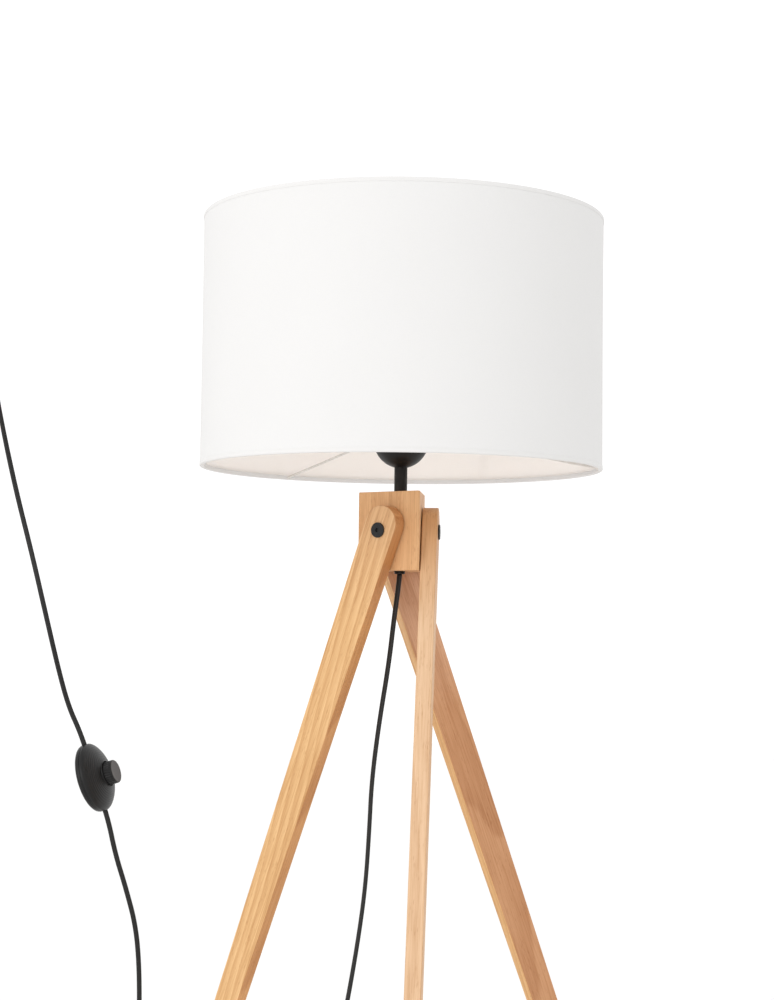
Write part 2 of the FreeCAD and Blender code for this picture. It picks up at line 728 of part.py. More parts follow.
# ---------------------------------------------------------------- plug, in its own frame
BOOT_LENGTH = 24.0
PLUG_LENGTH = 36.0
PLUG_WIDTH = 35.0
PLUG_THICKNESS = 13.6
PIN_LENGTH = 19.0
PIN_RADIUS = 2.0
PIN_SPACING = 18.6


def at_plug(shape):
    """Move a shape from the plug's own frame, X along the plug, to the cord's far end."""
    ahead = (PLUG_ROUTE[-1] - PLUG_ROUTE[-2]).normalize()
    across = ahead.cross(Vector(0, 1, 0)).normalize()
    return at_frame(shape, PLUG_ROUTE[-1], ahead, across, ahead.cross(across))


def plug_boot():
    """Tapered strain relief on the cord."""
    cone = Part.makeCone(3.3, 5.2, BOOT_LENGTH, Vector(0, 0, 0), Vector(1, 0, 0))
    return at_plug(cone)


def plug_body():
    """Flat two-pin plug body, narrow at the cord and full width at the pins."""
    near = BOOT_LENGTH
    shoulder = near + 14.0
    far = near + PLUG_LENGTH
    half = PLUG_WIDTH / 2
    low = -PLUG_THICKNESS / 2
    corners = [(near, 6.0), (shoulder, half), (far - 5.0, half), (far, half - 4.0)]
    outline = corners + [(x, -y) for x, y in reversed(corners)]
    outline.append(outline[0])
    wire = Part.makePolygon([Vector(x, y, low) for x, y in outline])
    body = Part.Face(wire).extrude(Vector(0, 0, PLUG_THICKNESS))
    return at_plug(body.makeFillet(2.0, body.Edges))


def plug_pins():
    """Two round pins."""
    pins = []
    start = BOOT_LENGTH + PLUG_LENGTH
    for side in (-1, 1):
        foot = Vector(start, side * PIN_SPACING / 2, 0)
        pin = Part.makeCylinder(PIN_RADIUS, PIN_LENGTH, foot, Vector(1, 0, 0))
        tip = [e for e in pin.Edges if e.BoundBox.XMin > start + PIN_LENGTH - 0.1]
        pins.append(at_plug(pin.makeFillet(1.2, tip[:1])))
    return Part.makeCompound(pins)


# ---------------------------------------------------------------- all nodes
def all_nodes():
    """Every sub-part by its node name."""
    nodes = {
        "head_block": head_block(),
        "leg_inserts": leg_inserts(),
        "leg_washers": leg_washers(),
        "leg_bolts": leg_bolts(),
        "threaded_tube": threaded_tube(),
        "bottom_nut": bottom_nut(),
        "cord_gland": cord_gland(),
        "stem": stem(),
        "cup": cup(),
        "cup_nut": cup_nut(),
        "holder_cap": holder_cap(),
        "holder_insert": holder_insert(),
        "terminal_screws": terminal_screws(),
        "holder_body": holder_body(),
        "screw_shell": screw_shell(),
        "centre_contact": centre_contact(),
        "shade_ring": shade_ring(),
        "stem_cable": stem_cable(),
        "core_wires": core_wires(),
        "shade_cover": shade_cover(),
        "shade_top_ring": shade_top_ring(),
        "shade_carrier": shade_carrier(),
        "shade_bottom_trim": shade_bottom_trim(),
        "shade_top_trim": shade_top_trim(),
        "lead_cord": cord(LEAD_ROUTE, "lead_cord"),
        "plug_cord": cord(PLUG_ROUTE, "plug_cord"),
        "switch_base": switch_base(),
        "switch_cover": switch_cover(),
        "switch_button": switch_button(),
        "button_spring": button_spring(),
        "switch_mechanism": switch_mechanism(),
        "cord_clamps": cord_clamps(),
        "switch_conductors": switch_conductors(),
        "switch_screws": switch_screws(),
        "plug_boot": plug_boot(),
        "plug_body": plug_body(),
        "plug_pins": plug_pins(),
    }
    for side, azimuth in FACE_AZIMUTHS.items():
        nodes["leg_" + side] = leg(azimuth)
        nodes["foot_pad_" + side] = foot_pad(azimuth)
    return nodes


os.makedirs("parts", exist_ok=True)
for node, shape in all_nodes().items():
    if not shape.isValid():
        print("invalid shape:", node)
    shape.exportStep("parts/" + node + ".step")
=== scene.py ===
"""Looks of the tripod floor lamp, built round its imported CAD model. Metres, +Z up."""

import json
import math

import bpy
from mathutils import Matrix, Vector, noise

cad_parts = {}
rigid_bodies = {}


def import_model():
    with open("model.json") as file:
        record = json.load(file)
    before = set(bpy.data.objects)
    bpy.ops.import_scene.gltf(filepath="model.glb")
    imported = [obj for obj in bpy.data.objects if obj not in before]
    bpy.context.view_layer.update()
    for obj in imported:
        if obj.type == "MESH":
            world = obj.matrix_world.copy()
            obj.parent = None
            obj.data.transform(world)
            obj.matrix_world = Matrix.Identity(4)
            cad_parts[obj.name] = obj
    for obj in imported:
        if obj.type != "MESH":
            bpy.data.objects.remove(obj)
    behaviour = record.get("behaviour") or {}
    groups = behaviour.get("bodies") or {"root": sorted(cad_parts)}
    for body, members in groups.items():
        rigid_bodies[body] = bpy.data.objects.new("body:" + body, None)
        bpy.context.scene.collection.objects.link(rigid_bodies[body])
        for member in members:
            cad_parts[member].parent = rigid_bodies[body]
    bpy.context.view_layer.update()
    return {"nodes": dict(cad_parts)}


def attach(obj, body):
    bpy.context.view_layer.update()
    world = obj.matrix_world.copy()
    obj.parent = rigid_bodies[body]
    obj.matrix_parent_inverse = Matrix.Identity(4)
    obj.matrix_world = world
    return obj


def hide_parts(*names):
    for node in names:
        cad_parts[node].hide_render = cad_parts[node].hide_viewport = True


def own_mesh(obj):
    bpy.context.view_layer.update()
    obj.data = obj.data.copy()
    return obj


for leftover in list(bpy.data.objects):
    bpy.data.objects.remove(leftover)

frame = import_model()

Z_AXIS = Vector((0, 0, 1))
ON_AXIS = 1e-9

# ---- camera and light of the photograph
CAMERA_PLACE = Vector((0.1587, -1.9486, 0.99385))
CAMERA_TURN = math.radians(5.05)
CAMERA_PITCH = math.radians(3.68)
CAMERA_ROLL = math.radians(0.72)
CAMERA_LENS = 70.87
KEY_PLACE = Vector((-1.9, -3.0, 1.9))
KEY_AIM = Vector((0, 0, 1.1))
KEY_SIZE = (2.2, 2.4)
KEY_POWER = 30.0
SURROUNDINGS = 1.12

# ---- sizes: those of the design, and of what is only drawn here
SHADE_BOTTOM = 1.150
SHADE_TOP = 1.400
SHADE_RADIUS = 0.200
COVER_WALL = 0.0008
TRIM_WALL = 0.0004
TRIM_HEIGHT = 0.0042
RING_WIRE_RADIUS = 0.0015
WIRE_SIDES = 14
ARM_RADIUS = 0.00125
ARM_AZIMUTHS = (-1.0, 133.0, 246.0)
HUB_HEIGHT = 1.186
HUB_RADIUS = 0.0275
HUB_BORE = 0.0202
ARM_END = 0.0255
HOLDER_RADIUS = 0.0195
HOLDER_BORE = 0.0163
HOLDER_SEGMENTS = 96
WIRE_GAP = 0.0001
WIRE_RING_RADIUS = SHADE_RADIUS - TRIM_WALL - COVER_WALL - RING_WIRE_RADIUS - WIRE_GAP
WIRE_RING_INSET = TRIM_WALL + RING_WIRE_RADIUS + WIRE_GAP
GLUE_LINE = 0.00005
THREAD_SPACING = 0.00072
SHADE_SEGMENTS = 720
SEAM_AZIMUTH = 68.0
SEAM_OVERLAP = 0.010
SEAM_STEP = 0.00035
WAVE_HEIGHT = 0.00032
SHEET_PULL = 0.00005

BLOCK_BOTTOM = 1.049
LEG_SPLAY = math.radians(21)
RINGS_PER_METRE = 110.0
FACE_AZIMUTHS = {"front": 0.0, "right": 120.0, "left": 240.0}

CORD_WIDTH = 0.0052
CORD_THICKNESS = 0.0033
CORD_SIDES = 28
GLAND_MOUTH = Vector((0, 0, 1.046))

SWITCH_CENTRE = Vector((-0.325, 0.072, 0.8325))
SWITCH_DOWN = Vector((0.313, 0.066, -0.948))
SWITCH_FACING = Vector((0.941, -0.16, 0.299)).normalized()
SWITCH_RADIUS = 0.0356
SWITCH_WALL = 0.0020
SEAM_HEIGHT = 0.0054
COVER_RIM_HEIGHT = 0.0074
DOME_RISE = 0.0145
DOME_FULLNESS = 1.54
DOME_EDGE = 0.014
COLLAR_HEIGHT = 0.0206
BUTTON_RADIUS = 0.0122
BUTTON_FACE_HEIGHT = 0.0301
SPRING_LOW = 0.0096
SPRING_HIGH = 0.0270
SPRING_RADIUS = 0.0065
LEDGE_RADIUS = 0.0156
LEDGE_HEIGHT = 0.0150
SCREW_CIRCLE = 0.027
SWITCH_CORD_HEIGHT = 0.0052
CORD_PASSAGE = 0.0028
CLAMP_FACE = 0.030
CORD_CLEAR = 0.048
BOOT_LENGTH = 0.024
PLUG_LENGTH = 0.036
PLUG_NECK = 0.0062
PLUG_HALF_WIDTH = 0.0175
PIN_SPACING = 0.0186


def switch_axes():
    """Unit vectors of the foot switch: along the cord, across it, out of the button."""
    down = (SWITCH_DOWN - SWITCH_FACING * SWITCH_DOWN.dot(SWITCH_FACING)).normalized()
    return down, SWITCH_FACING.cross(down), SWITCH_FACING


def axes_matrix(origin, x_axis, y_axis, z_axis):
    """The matrix that takes a frame's own coordinates to the row frame."""
    turn = Matrix((x_axis, y_axis, z_axis)).transposed().to_4x4()
    return Matrix.Translation(origin) @ turn


SWITCH_FRAME = axes_matrix(SWITCH_CENTRE, *switch_axes())


def on_switch(along, out):
    """A point given along the switch's cord direction and out from its underside."""
    return SWITCH_FRAME @ Vector((along, 0, out))


def new_object(name, data):
    """An object in the scene."""
    item = bpy.data.objects.new(name, data)
    bpy.context.scene.collection.objects.link(item)
    return item


# ---- camera
def make_camera():
    """The photograph's view: from just under the head block's height, a little to the right."""
    sine, cosine = math.sin(CAMERA_TURN), math.cos(CAMERA_TURN)
    level = Vector((cosine, sine, 0))
    ahead = Vector((-sine, cosine, 0)) * math.cos(CAMERA_PITCH) + Z_AXIS * math.sin(CAMERA_PITCH)
    upward = level.cross(ahead)
    right = level * math.cos(CAMERA_ROLL) + upward * math.sin(CAMERA_ROLL)
    top = upward * math.cos(CAMERA_ROLL) - level * math.sin(CAMERA_ROLL)
    data = bpy.data.cameras.new("photo_camera")
    data.sensor_width = 36.0
    data.lens = CAMERA_LENS
    data.clip_start = 0.05
    data.clip_end = 60.0
    camera = new_object("photo_camera", data)
    camera.matrix_world = axes_matrix(CAMERA_PLACE, right, top, -ahead)
    bpy.context.scene.camera = camera


# ---- mesh helpers
def new_piece(name, skin, material, crisp=None, body="stand"):
    """A smooth mesh object on its body, from a skin: its points in the row frame and its faces.

    Edges that turn by more than crisp degrees stay sharp.
    """
    vertices, faces = skin
    mesh = bpy.data.meshes.new(name)
    mesh.from_pydata([tuple(v) for v in vertices], [], faces)
    mesh.validate()
    mesh.shade_smooth()
    piece = new_object(name, mesh)
    mesh.materials.append(material)
    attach(piece, body)
    if crisp:
        mesh.set_sharp_from_angle(angle=math.radians(crisp))
    return piece


def outward(azimuth):
    """Level unit vector at an azimuth in degrees."""
    return Vector((math.cos(math.radians(azimuth)), math.sin(math.radians(azimuth)), 0))


def arc(centre, radius, start, end, steps):
    """Outline points on an arc about (radius, height), angles in degrees from outward."""
    points = []
    for k in range(steps + 1):
        angle = math.radians(start + (end - start) * k / steps)
        points.append((centre[0] + radius * math.cos(angle), centre[1] + radius * math.sin(angle)))
    return points


def quads(rings, count, closed=True):
    """Corner numbers of the quads between rings of count points: two on a ring, two on the next."""
    for ring in range(rings if closed else rings - 1):
        here = ring * count
        there = (ring + 1) % rings * count
        for i in range(count):
            j = (i + 1) % count
            yield here + i, here + j, there + j, there + i


def tube_faces(rings, count):
    """The quads of an open run of rings, with a flat face at each end."""
    faces = list(quads(rings, count, False))
    last = (rings - 1) * count
    faces.append(tuple(range(count))[::-1])
    faces.append(tuple(range(last, last + count)))
    return faces


def turned(outline, segments, place=None, wobble=None):
    """Skin of a closed (radius, height) outline turned about Z."""
    place = place or Matrix.Identity(4)
    vertices = []
    for k in range(segments):
        angle = 2 * math.pi * k / segments
        for i, (radius, height) in enumerate(outline):
            swell = wobble(angle, i, radius, height) if wobble else 0.0
            r = radius + swell
            vertices.append(place @ Vector((r * math.cos(angle), r * math.sin(angle), height)))
    count = len(outline)
    faces = [
        (a, d, c, b) for a, b, c, d in quads(segments, count)
        if max(outline[a % count][0], outline[b % count][0]) > ON_AXIS
    ]
    return vertices, faces


def frames_along(points, side):
    """Two unit vectors square to a line at each of its points, carried along without twist."""
    count = len(points)
    frames = []
    for i in range(count):
        ahead = (points[min(i + 1, count - 1)] - points[max(i - 1, 0)]).normalized()
        side = (side - ahead * side.dot(ahead)).normalized()
        frames.append((side, ahead.cross(side)))
    return frames


def swept(points, section, side, turns=None, closed=False, scale=None):
    """Skin of a tube: a section of (across, up) points carried along a line."""
    vertices = []
    count = len(section)
    for i, ((across, up), centre) in enumerate(zip(frames_along(points, side), points)):
        angle = turns[i] if turns else 0.0
        grow = scale[i] if scale else 1.0
        cosine, sine = math.cos(angle), math.sin(angle)
        for x, y in section:
            u = (x * cosine - y * sine) * grow
            v = (x * sine + y * cosine) * grow
            vertices.append(centre + across * u + up * v)
    rings = len(points)
    return vertices, list(quads(rings, count)) if closed else tube_faces(rings, count)


def circle(radius, sides):
    """Points evenly spaced round a circle."""
    return [
        (radius * math.cos(2 * math.pi * k / sides), radius * math.sin(2 * math.pi * k / sides))
        for k in range(sides)
    ]


def joined(*parts):
    """Several skins as one."""
    vertices, faces = [], []
    for more_vertices, more_faces in parts:
        base = len(vertices)
        vertices += more_vertices
        faces += [tuple(base + i for i in face) for face in more_faces]
    return vertices, faces


# ---- cords
LEAD_ROUTE = [
    GLAND_MOUTH,
    *map(Vector, [
        (-0.001, 0, 1.033), (-0.005, 0.001, 1.003), (-0.010, 0.004, 0.957), (-0.019, 0.007, 0.900),
        (-0.026, 0.009, 0.842), (-0.028, 0.010, 0.790), (-0.031, 0.011, 0.738), (-0.037, 0.013, 0.690),
        (-0.046, 0.017, 0.635), (-0.057, 0.023, 0.578), (-0.071, 0.032, 0.512), (-0.089, 0.044, 0.448),
        (-0.109, 0.056, 0.386), (-0.133, 0.070, 0.326), (-0.164, 0.087, 0.274), (-0.205, 0.109, 0.248),
        (-0.243, 0.130, 0.270), (-0.265, 0.141, 0.320), (-0.277, 0.147, 0.381), (-0.282, 0.149, 0.446),
        (-0.284, 0.146, 0.511), (-0.282, 0.137, 0.576), (-0.280, 0.122, 0.632), (-0.281, 0.106, 0.677),
        (-0.289, 0.091, 0.718), (-0.299, 0.081, 0.755),
    ]),
    on_switch(CORD_CLEAR, SWITCH_CORD_HEIGHT),
    on_switch(CLAMP_FACE, SWITCH_CORD_HEIGHT),
]
PLUG_ROUTE = [
    on_switch(-CLAMP_FACE, SWITCH_CORD_HEIGHT),
    on_switch(-CORD_CLEAR, SWITCH_CORD_HEIGHT),
    *map(Vector, [
        (-0.349, 0.069, 0.907), (-0.361, 0.068, 0.948), (-0.375, 0.067, 1.003), (-0.391, 0.066, 1.066),
        (-0.408, 0.064, 1.128), (-0.423, 0.063, 1.190), (-0.435, 0.061, 1.250), (-0.449, 0.060, 1.294),
        (-0.469, 0.059, 1.323),
    ]),
]


def spline_line(route, name):
    """Points along the NURBS spline whose control points are the route's."""
    curve = bpy.data.curves.new(name + "_line", "CURVE")
    curve.dimensions = "3D"
    curve.resolution_u = 16
    spline = curve.splines.new("NURBS")
    spline.points.add(len(route) - 1)
    for control, point in zip(spline.points, route):
        control.co = (*point, 1.0)
    spline.order_u = 3
    spline.use_endpoint_u = True
    holder = new_object(name + "_line", curve)
    bpy.context.view_layer.update()
    mesh = bpy.data.meshes.new_from_object(holder.evaluated_get(bpy.context.evaluated_depsgraph_get()))
    points = [v.co.copy() for v in mesh.vertices]
    bpy.data.objects.remove(holder)
    bpy.data.meshes.remove(mesh)
    return points


def flat_cord_section():
    """Oval section of a flat two-core cord, with a faint waist between the cores."""
    section = []
    for cosine, sine in circle(1.0, CORD_SIDES):
        x = cosine * CORD_WIDTH / 2
        y = math.copysign(abs(sine) ** 0.72, sine) * CORD_THICKNESS / 2
        waist = 0.07 * math.exp(-((x / (0.13 * CORD_WIDTH)) ** 2))
        section.append((x, y * (1 - waist)))
    return section


def flat_cord(name, route, side, start_turn, end_turn, material):
    """A flat cord along its route, which lies twisted as the real one does."""
    points = spline_line(route, name)
    turns = []
    for i in range(len(points)):
        share = i / (len(points) - 1)
        lazy = 0.5 * math.sin(share * 9.0) * math.sin(math.pi * share)
        turns.append(start_turn + (end_turn - start_turn) * share + lazy)
    skin = swept(points, flat_cord_section(), side, turns)
    return new_piece(name, skin, material), points


def make_cords(material):
    """The lead from the gland to the switch, and the cord from the switch to the plug."""
    lead, lead_points = flat_cord("lead", LEAD_ROUTE, Vector((1, 0, 0)), 0.35, 1.2, material)
    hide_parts("lead_cord")
    plug_lead, plug_points = flat_cord(
        "plug_lead", PLUG_ROUTE, Vector((1, 0, 0)), 0.2, 0.9, material
    )
    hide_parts("plug_cord")
    return lead, lead_points, plug_lead, plug_points


# ---- material helpers
class Nodes:
    """A material's node tree, with short ways to add and join nodes."""

    def __init__(self, name):
        self.material = bpy.data.materials.new(name)
        self.material.use_nodes = True
        self.tree = self.material.node_tree
        self.shader = self.tree.nodes["Principled BSDF"]
        coordinates = self.add("ShaderNodeTexCoord")
        self.place = coordinates.outputs["Object"]
        self.normal = coordinates.outputs["Normal"]

    def add(self, kind, inputs=(), **settings):
        """A new node with its settings, and its inputs by name or in their order."""
        node = self.tree.nodes.new(kind)
        for key, value in settings.items():
            setattr(node, key, value)
        for key, value in inputs.items() if isinstance(inputs, dict) else enumerate(inputs):
            self.feed(node, key, value)
        return node

    def feed(self, node, name, value):
        """Put a number, a colour or another node's output into an input."""
        if isinstance(value, bpy.types.NodeSocket):
            self.tree.links.new(value, node.inputs[name])
        else:
            node.inputs[name].default_value = value

    def math(self, operation, a, b=0.0, c=0.0):
        """The result of one sum."""
        return self.add("ShaderNodeMath", (a, b, c), operation=operation).outputs[0]

    def scaled(self, vector, scale):
        """A vector times another, part by part."""
        return self.add("ShaderNodeVectorMath", (vector, scale), operation="MULTIPLY").outputs[0]

    def moved(self, vector, offset):
        """A vector plus another."""
        return self.add("ShaderNodeVectorMath", (vector, offset), operation="ADD").outputs[0]

    def turned(self, vector, matrix):
        """A vector in the axes that are a rotation matrix's rows."""
        inputs = {"Vector": vector, "Rotation": matrix.to_euler("XYZ")}
        return self.add("ShaderNodeMapping", inputs).outputs[0]

    def noise(self, vector, scale, detail=2.0, roughness=0.5, distortion=0.0):
        """Smooth noise from 0 to 1."""
        inputs = {"Vector": vector, "Scale": scale, "Detail": detail}
        inputs.update({"Roughness": roughness, "Distortion": distortion})
        return self.add("ShaderNodeTexNoise", inputs).outputs[0]

    def cells(self, vector, scale):
        """Distance to the nearest of many scattered points."""
        inputs = {"Vector": vector, "Scale": scale}
        return self.add("ShaderNodeTexVoronoi", inputs).outputs["Distance"]

    def ramp(self, value, stops):
        """A colour from a number, through (position, colour) stops."""
        node = self.add("ShaderNodeValToRGB", {"Fac": value})
        ramp = node.color_ramp
        while len(ramp.elements) < len(stops):
            ramp.elements.new(0.5)
        for element, (position, colour) in zip(ramp.elements, stops):
            element.position = position
            element.color = (*colour, 1.0)
        return node.outputs[0]

    def between(self, value, low, high, out_low=0.0, out_high=1.0):
        """A number mapped from one range to another and held inside it."""
        return self.add("ShaderNodeMapRange", (value, low, high, out_low, out_high)).outputs[0]

    def mix(self, share, a, b, blend="MIX"):
        """Two colours mixed."""
        node = self.add("ShaderNodeMix", {"Factor": share}, data_type="RGBA", blend_type=blend)
        sockets = [s for s in node.inputs if s.type == "RGBA"]
        for socket, value in zip(sockets, (a, b)):
            if isinstance(value, bpy.types.NodeSocket):
                self.tree.links.new(value, socket)
            else:
                socket.default_value = (*value, 1.0)
        return [s for s in node.outputs if s.type == "RGBA"][0]

    def parts(self, vector):
        """The X, Y and Z of a vector."""
        return self.add("ShaderNodeSeparateXYZ", (vector,)).outputs

    def vector(self, x, y, z):
        """A vector from its parts."""
        return self.add("ShaderNodeCombineXYZ", (x, y, z)).outputs[0]

    def bump(self, height, strength, distance):
        """Relief from a height, on the shader."""
        inputs = {"Height": height, "Strength": strength, "Distance": distance}
        self.feed(self.shader, "Normal", self.add("ShaderNodeBump", inputs).outputs[0])

    def surface(self, colour, roughness, **values):
        """The shader's colour and roughness, and its fixed numbers, named with _ for spaces."""
        self.feed(self.shader, "Base Color", colour)
        self.feed(self.shader, "Roughness", roughness)
        for name, value in values.items():
            self.shader.inputs[name.replace("_", " ")].default_value = value


def times(tone, factor):
    """A colour with every part multiplied."""
    return [part * factor for part in tone]


# ---- materials
def ring_lines(nodes, u, v):
    """How dark the late wood is, which grows towards each ring's end and stops short there."""
    radius = nodes.math("SQRT", nodes.math("MULTIPLY_ADD", u, u, nodes.math("MULTIPLY", v, v)))
    ring = nodes.math("FRACT", nodes.math("MULTIPLY", radius, RINGS_PER_METRE))
    late = nodes.between(ring, 0.10, 0.90)
    return nodes.math("MULTIPLY", late, nodes.between(ring, 0.92, 1.0, 1.0, 0.0))


def wood_flecks(nodes, board):
    """Beech's short dark dashes along the grain, in scattered patches."""
    dash = nodes.cells(nodes.scaled(board, (700.0, 700.0, 110.0)), 1.0)
    chosen = nodes.noise(nodes.scaled(board, (200.0, 200.0, 50.0)), 1.0, 1.0)
    stroke = nodes.between(dash, 0.14, 0.34, 1.0, 0.0)
    return nodes.math("MULTIPLY", stroke, nodes.between(chosen, 0.44, 0.60))


def beech(name, along, width, pith, tilt, figure, tone, painted_side_light_tone, seed, head=None, drop=0.0):
    """Lacquered beech: growth rings about a pith beside the board, fibres and fine flecks.

    along and width are unit vectors of the board; pith is where the tree's middle lies,
    (across, deep) from the board's own middle; tilt lets the rings run out along the board;
    figure is how strongly the rings and streaks show; head is what the tone is multiplied by
    near the top end, painted shade and painted light under the head block, and drop how far below the
    head block that part reaches.
    The broad and the narrow faces take their own tones, the tone and the side tone:
    painted light and shade for how each side of the board faces the light.
    """
    nodes = Nodes(name)
    deep = width.cross(along)
    axes = Matrix((width, deep, along))
    shift = (seed * 0.37, seed * 0.53, seed * 1.7)
    board = nodes.moved(nodes.turned(nodes.place, axes), shift)
    drift = nodes.noise(nodes.scaled(board, (9.0, 9.0, 3.2)), 1.0, 2.0, 0.45)
    ripple = nodes.noise(nodes.scaled(board, (60.0, 60.0, 7.0)), 1.0, 2.0, 0.5)
    across, depth, length = nodes.parts(board)
    bend = 0.085 * figure ** 2
    warp = nodes.math("MULTIPLY_ADD", drift, bend, nodes.math("MULTIPLY", ripple, 0.0035))
    run_out = nodes.math("MULTIPLY", length, tilt)
    u = nodes.math("ADD", nodes.math("ADD", across, pith[0] - shift[0]), warp)
    v = nodes.math("ADD", nodes.math("ADD", depth, pith[1] - shift[1]), run_out)
    line = ring_lines(nodes, u, v)
    fibre = nodes.noise(nodes.scaled(board, (750.0, 750.0, 22.0)), 1.0, 3.0, 0.6)
    bent = nodes.vector(u, depth, length)
    streak = nodes.noise(nodes.scaled(bent, (210.0, 210.0, 4.0)), 1.0, 2.0, 0.5)
    patch = nodes.noise(nodes.scaled(bent, (60.0, 60.0, 3.0)), 1.0, 1.0, 0.4)
    fleck = wood_flecks(nodes, board)
    # painted light and shade: the broad and narrow faces get their own tones by which way they face
    facing = nodes.add("ShaderNodeVectorMath", (nodes.normal, deep), operation="DOT_PRODUCT")
    broad = nodes.between(nodes.math("ABSOLUTE", facing.outputs["Value"]), 0.35, 0.75)
    tint = nodes.mix(broad, painted_side_light_tone, tone)
    broad_grain = nodes.math("MULTIPLY", patch, 0.25)
    broad_grain = nodes.math("MULTIPLY_ADD", streak, 0.25, nodes.math("ADD", broad_grain, 0.25))
    broad_grain = nodes.math("MULTIPLY_ADD", broad_grain, figure, 0.5 * (1.0 - figure))
    grain = nodes.math("MULTIPLY_ADD", fibre, 0.48, nodes.math("MULTIPLY", broad_grain, 0.52))
    stops = [(0.40, (0.84, 0.765, 0.67)), (0.50, (1.0, 1.0, 1.0)), (0.60, (1.08, 1.11, 1.15))]
    shading = nodes.ramp(grain, stops)
    colour = nodes.mix(1.0, tint, shading, "MULTIPLY")
    ring_dark = nodes.mix(1.0, colour, (0.80, 0.71, 0.62), "MULTIPLY")
    colour = nodes.mix(nodes.math("MULTIPLY", line, 0.85 * figure), colour, ring_dark)
    fleck_dark = nodes.mix(1.0, colour, (0.66, 0.55, 0.45), "MULTIPLY")
    colour = nodes.mix(nodes.math("MULTIPLY", fleck, 0.50), colour, fleck_dark)
    # painted shade and light near the head block, where the lampshade shades the tops of the legs
    if head:
        height = nodes.parts(nodes.place)[2]
        middle = BLOCK_BOTTOM - drop
        painted_head_shade_mask = nodes.between(height, middle - 0.05, middle + 0.05)
        colour = nodes.mix(painted_head_shade_mask, colour, nodes.mix(1.0, colour, head, "MULTIPLY"))
    gloss = nodes.between(fibre, 0.25, 0.75, 0.58, 0.46)
    rough = nodes.math("MULTIPLY_ADD", fleck, 0.12, gloss)
    nodes.surface(colour, rough, Specular_IOR_Level=0.30, Coat_Weight=0.06, Coat_Roughness=0.35)
    height = nodes.math("MULTIPLY_ADD", fleck, -0.8, fibre)
    nodes.bump(nodes.math("MULTIPLY_ADD", line, -0.5, height), 0.35, 0.00012)
    return nodes.material


def shade_fabric(name, warmth, glow=0.0):
    """Fine plain-weave fabric on a stiff sheet. Glow is how much light comes through the sheet."""
    nodes = Nodes(name)
    x, y, z = nodes.parts(nodes.place)
    angle = nodes.math("ARCTAN2", y, x)
    around = nodes.math("MULTIPLY", angle, SHADE_RADIUS)
    threads = 2 * math.pi / THREAD_SPACING
    slub = nodes.noise(nodes.vector(nodes.math("MULTIPLY", around, 9.0), 0.0, z), 160.0, 3.0)
    weft_slub = nodes.noise(nodes.vector(around, 0.0, nodes.math("MULTIPLY", z, 9.0)), 160.0, 3.0)
    warp = nodes.math("SINE", nodes.math("MULTIPLY", around, threads))
    weft = nodes.math("SINE", nodes.math("MULTIPLY", z, threads))
    crossing = nodes.math("MULTIPLY", warp, weft)
    weave = nodes.math("MULTIPLY_ADD", crossing, 0.5, 0.5)
    cloud = nodes.noise(nodes.place, 14.0, 3.0, 0.55)
    uneven = nodes.math("MULTIPLY_ADD", slub, 0.5, nodes.math("MULTIPLY", weft_slub, 0.5))
    tint = nodes.math("MULTIPLY_ADD", weave, 0.20, nodes.math("MULTIPLY", uneven, 0.6))
    tint = nodes.math("MULTIPLY_ADD", cloud, 0.2, tint)
    colour = nodes.ramp(tint, [(0.30, times(warmth, 0.965)), (0.66, warmth)])
    nodes.surface(
        colour, nodes.between(weave, 0.0, 1.0, 0.93, 0.82), Specular_IOR_Level=0.12,
        Subsurface_Weight=glow, Subsurface_Radius=(1.0, 1.0, 1.0), Subsurface_Scale=0.0007,
    )
    relief = nodes.math("MULTIPLY_ADD", uneven, 1.4, weave)
    nodes.bump(relief, 0.30, 0.00010)
    return nodes.material


def powder_coat(name, tone, roughness=0.46):
    """Matt powder coat with a fine orange-peel surface and slightly polished patches."""
    nodes = Nodes(name)
    peel = nodes.noise(nodes.place, 1500.0, 2.0, 0.55)
    grit = nodes.noise(nodes.place, 5200.0, 1.0, 0.5)
    handled = nodes.noise(nodes.place, 60.0, 3.0, 0.6)
    shade = nodes.math("MULTIPLY_ADD", peel, 0.6, nodes.math("MULTIPLY", handled, 0.4))
    colour = nodes.ramp(shade, [(0.30, times(tone, 0.80)), (0.70, times(tone, 1.2))])
    rough = nodes.between(handled, 0.3, 0.7, roughness - 0.05, roughness + 0.06)
    nodes.surface(colour, rough, Specular_IOR_Level=0.26)
    nodes.bump(nodes.math("MULTIPLY_ADD", grit, 0.35, peel), 0.30, 0.00012)
    return nodes.material


def moulded_plastic(name, tone, roughness=0.32):
    """Moulded black plastic with a fine spark-eroded texture and faint scuffs."""
    nodes = Nodes(name)
    spark = nodes.noise(nodes.place, 2600.0, 2.0, 0.6)
    scuff = nodes.noise(nodes.scaled(nodes.place, (1.0, 1.0, 2.6)), 130.0, 4.0, 0.7, 0.6)
    cloud = nodes.noise(nodes.place, 24.0, 2.0, 0.5)
    shade = nodes.math("MULTIPLY_ADD", spark, 0.5, nodes.math("MULTIPLY", cloud, 0.5))
    colour = nodes.ramp(shade, [(0.30, times(tone, 0.84)), (0.72, times(tone, 1.18))])
    rubbed = nodes.between(scuff, 0.56, 0.72)
    colour = nodes.mix(nodes.math("MULTIPLY", rubbed, 0.22), colour, times(tone, 2.0))
    satin = nodes.between(spark, 0.2, 0.8, roughness, roughness + 0.1)
    nodes.surface(colour, nodes.math("MULTIPLY_ADD", rubbed, 0.10, satin), Specular_IOR_Level=0.26)
    nodes.bump(spark, 0.18, 0.00008)
    return nodes.material


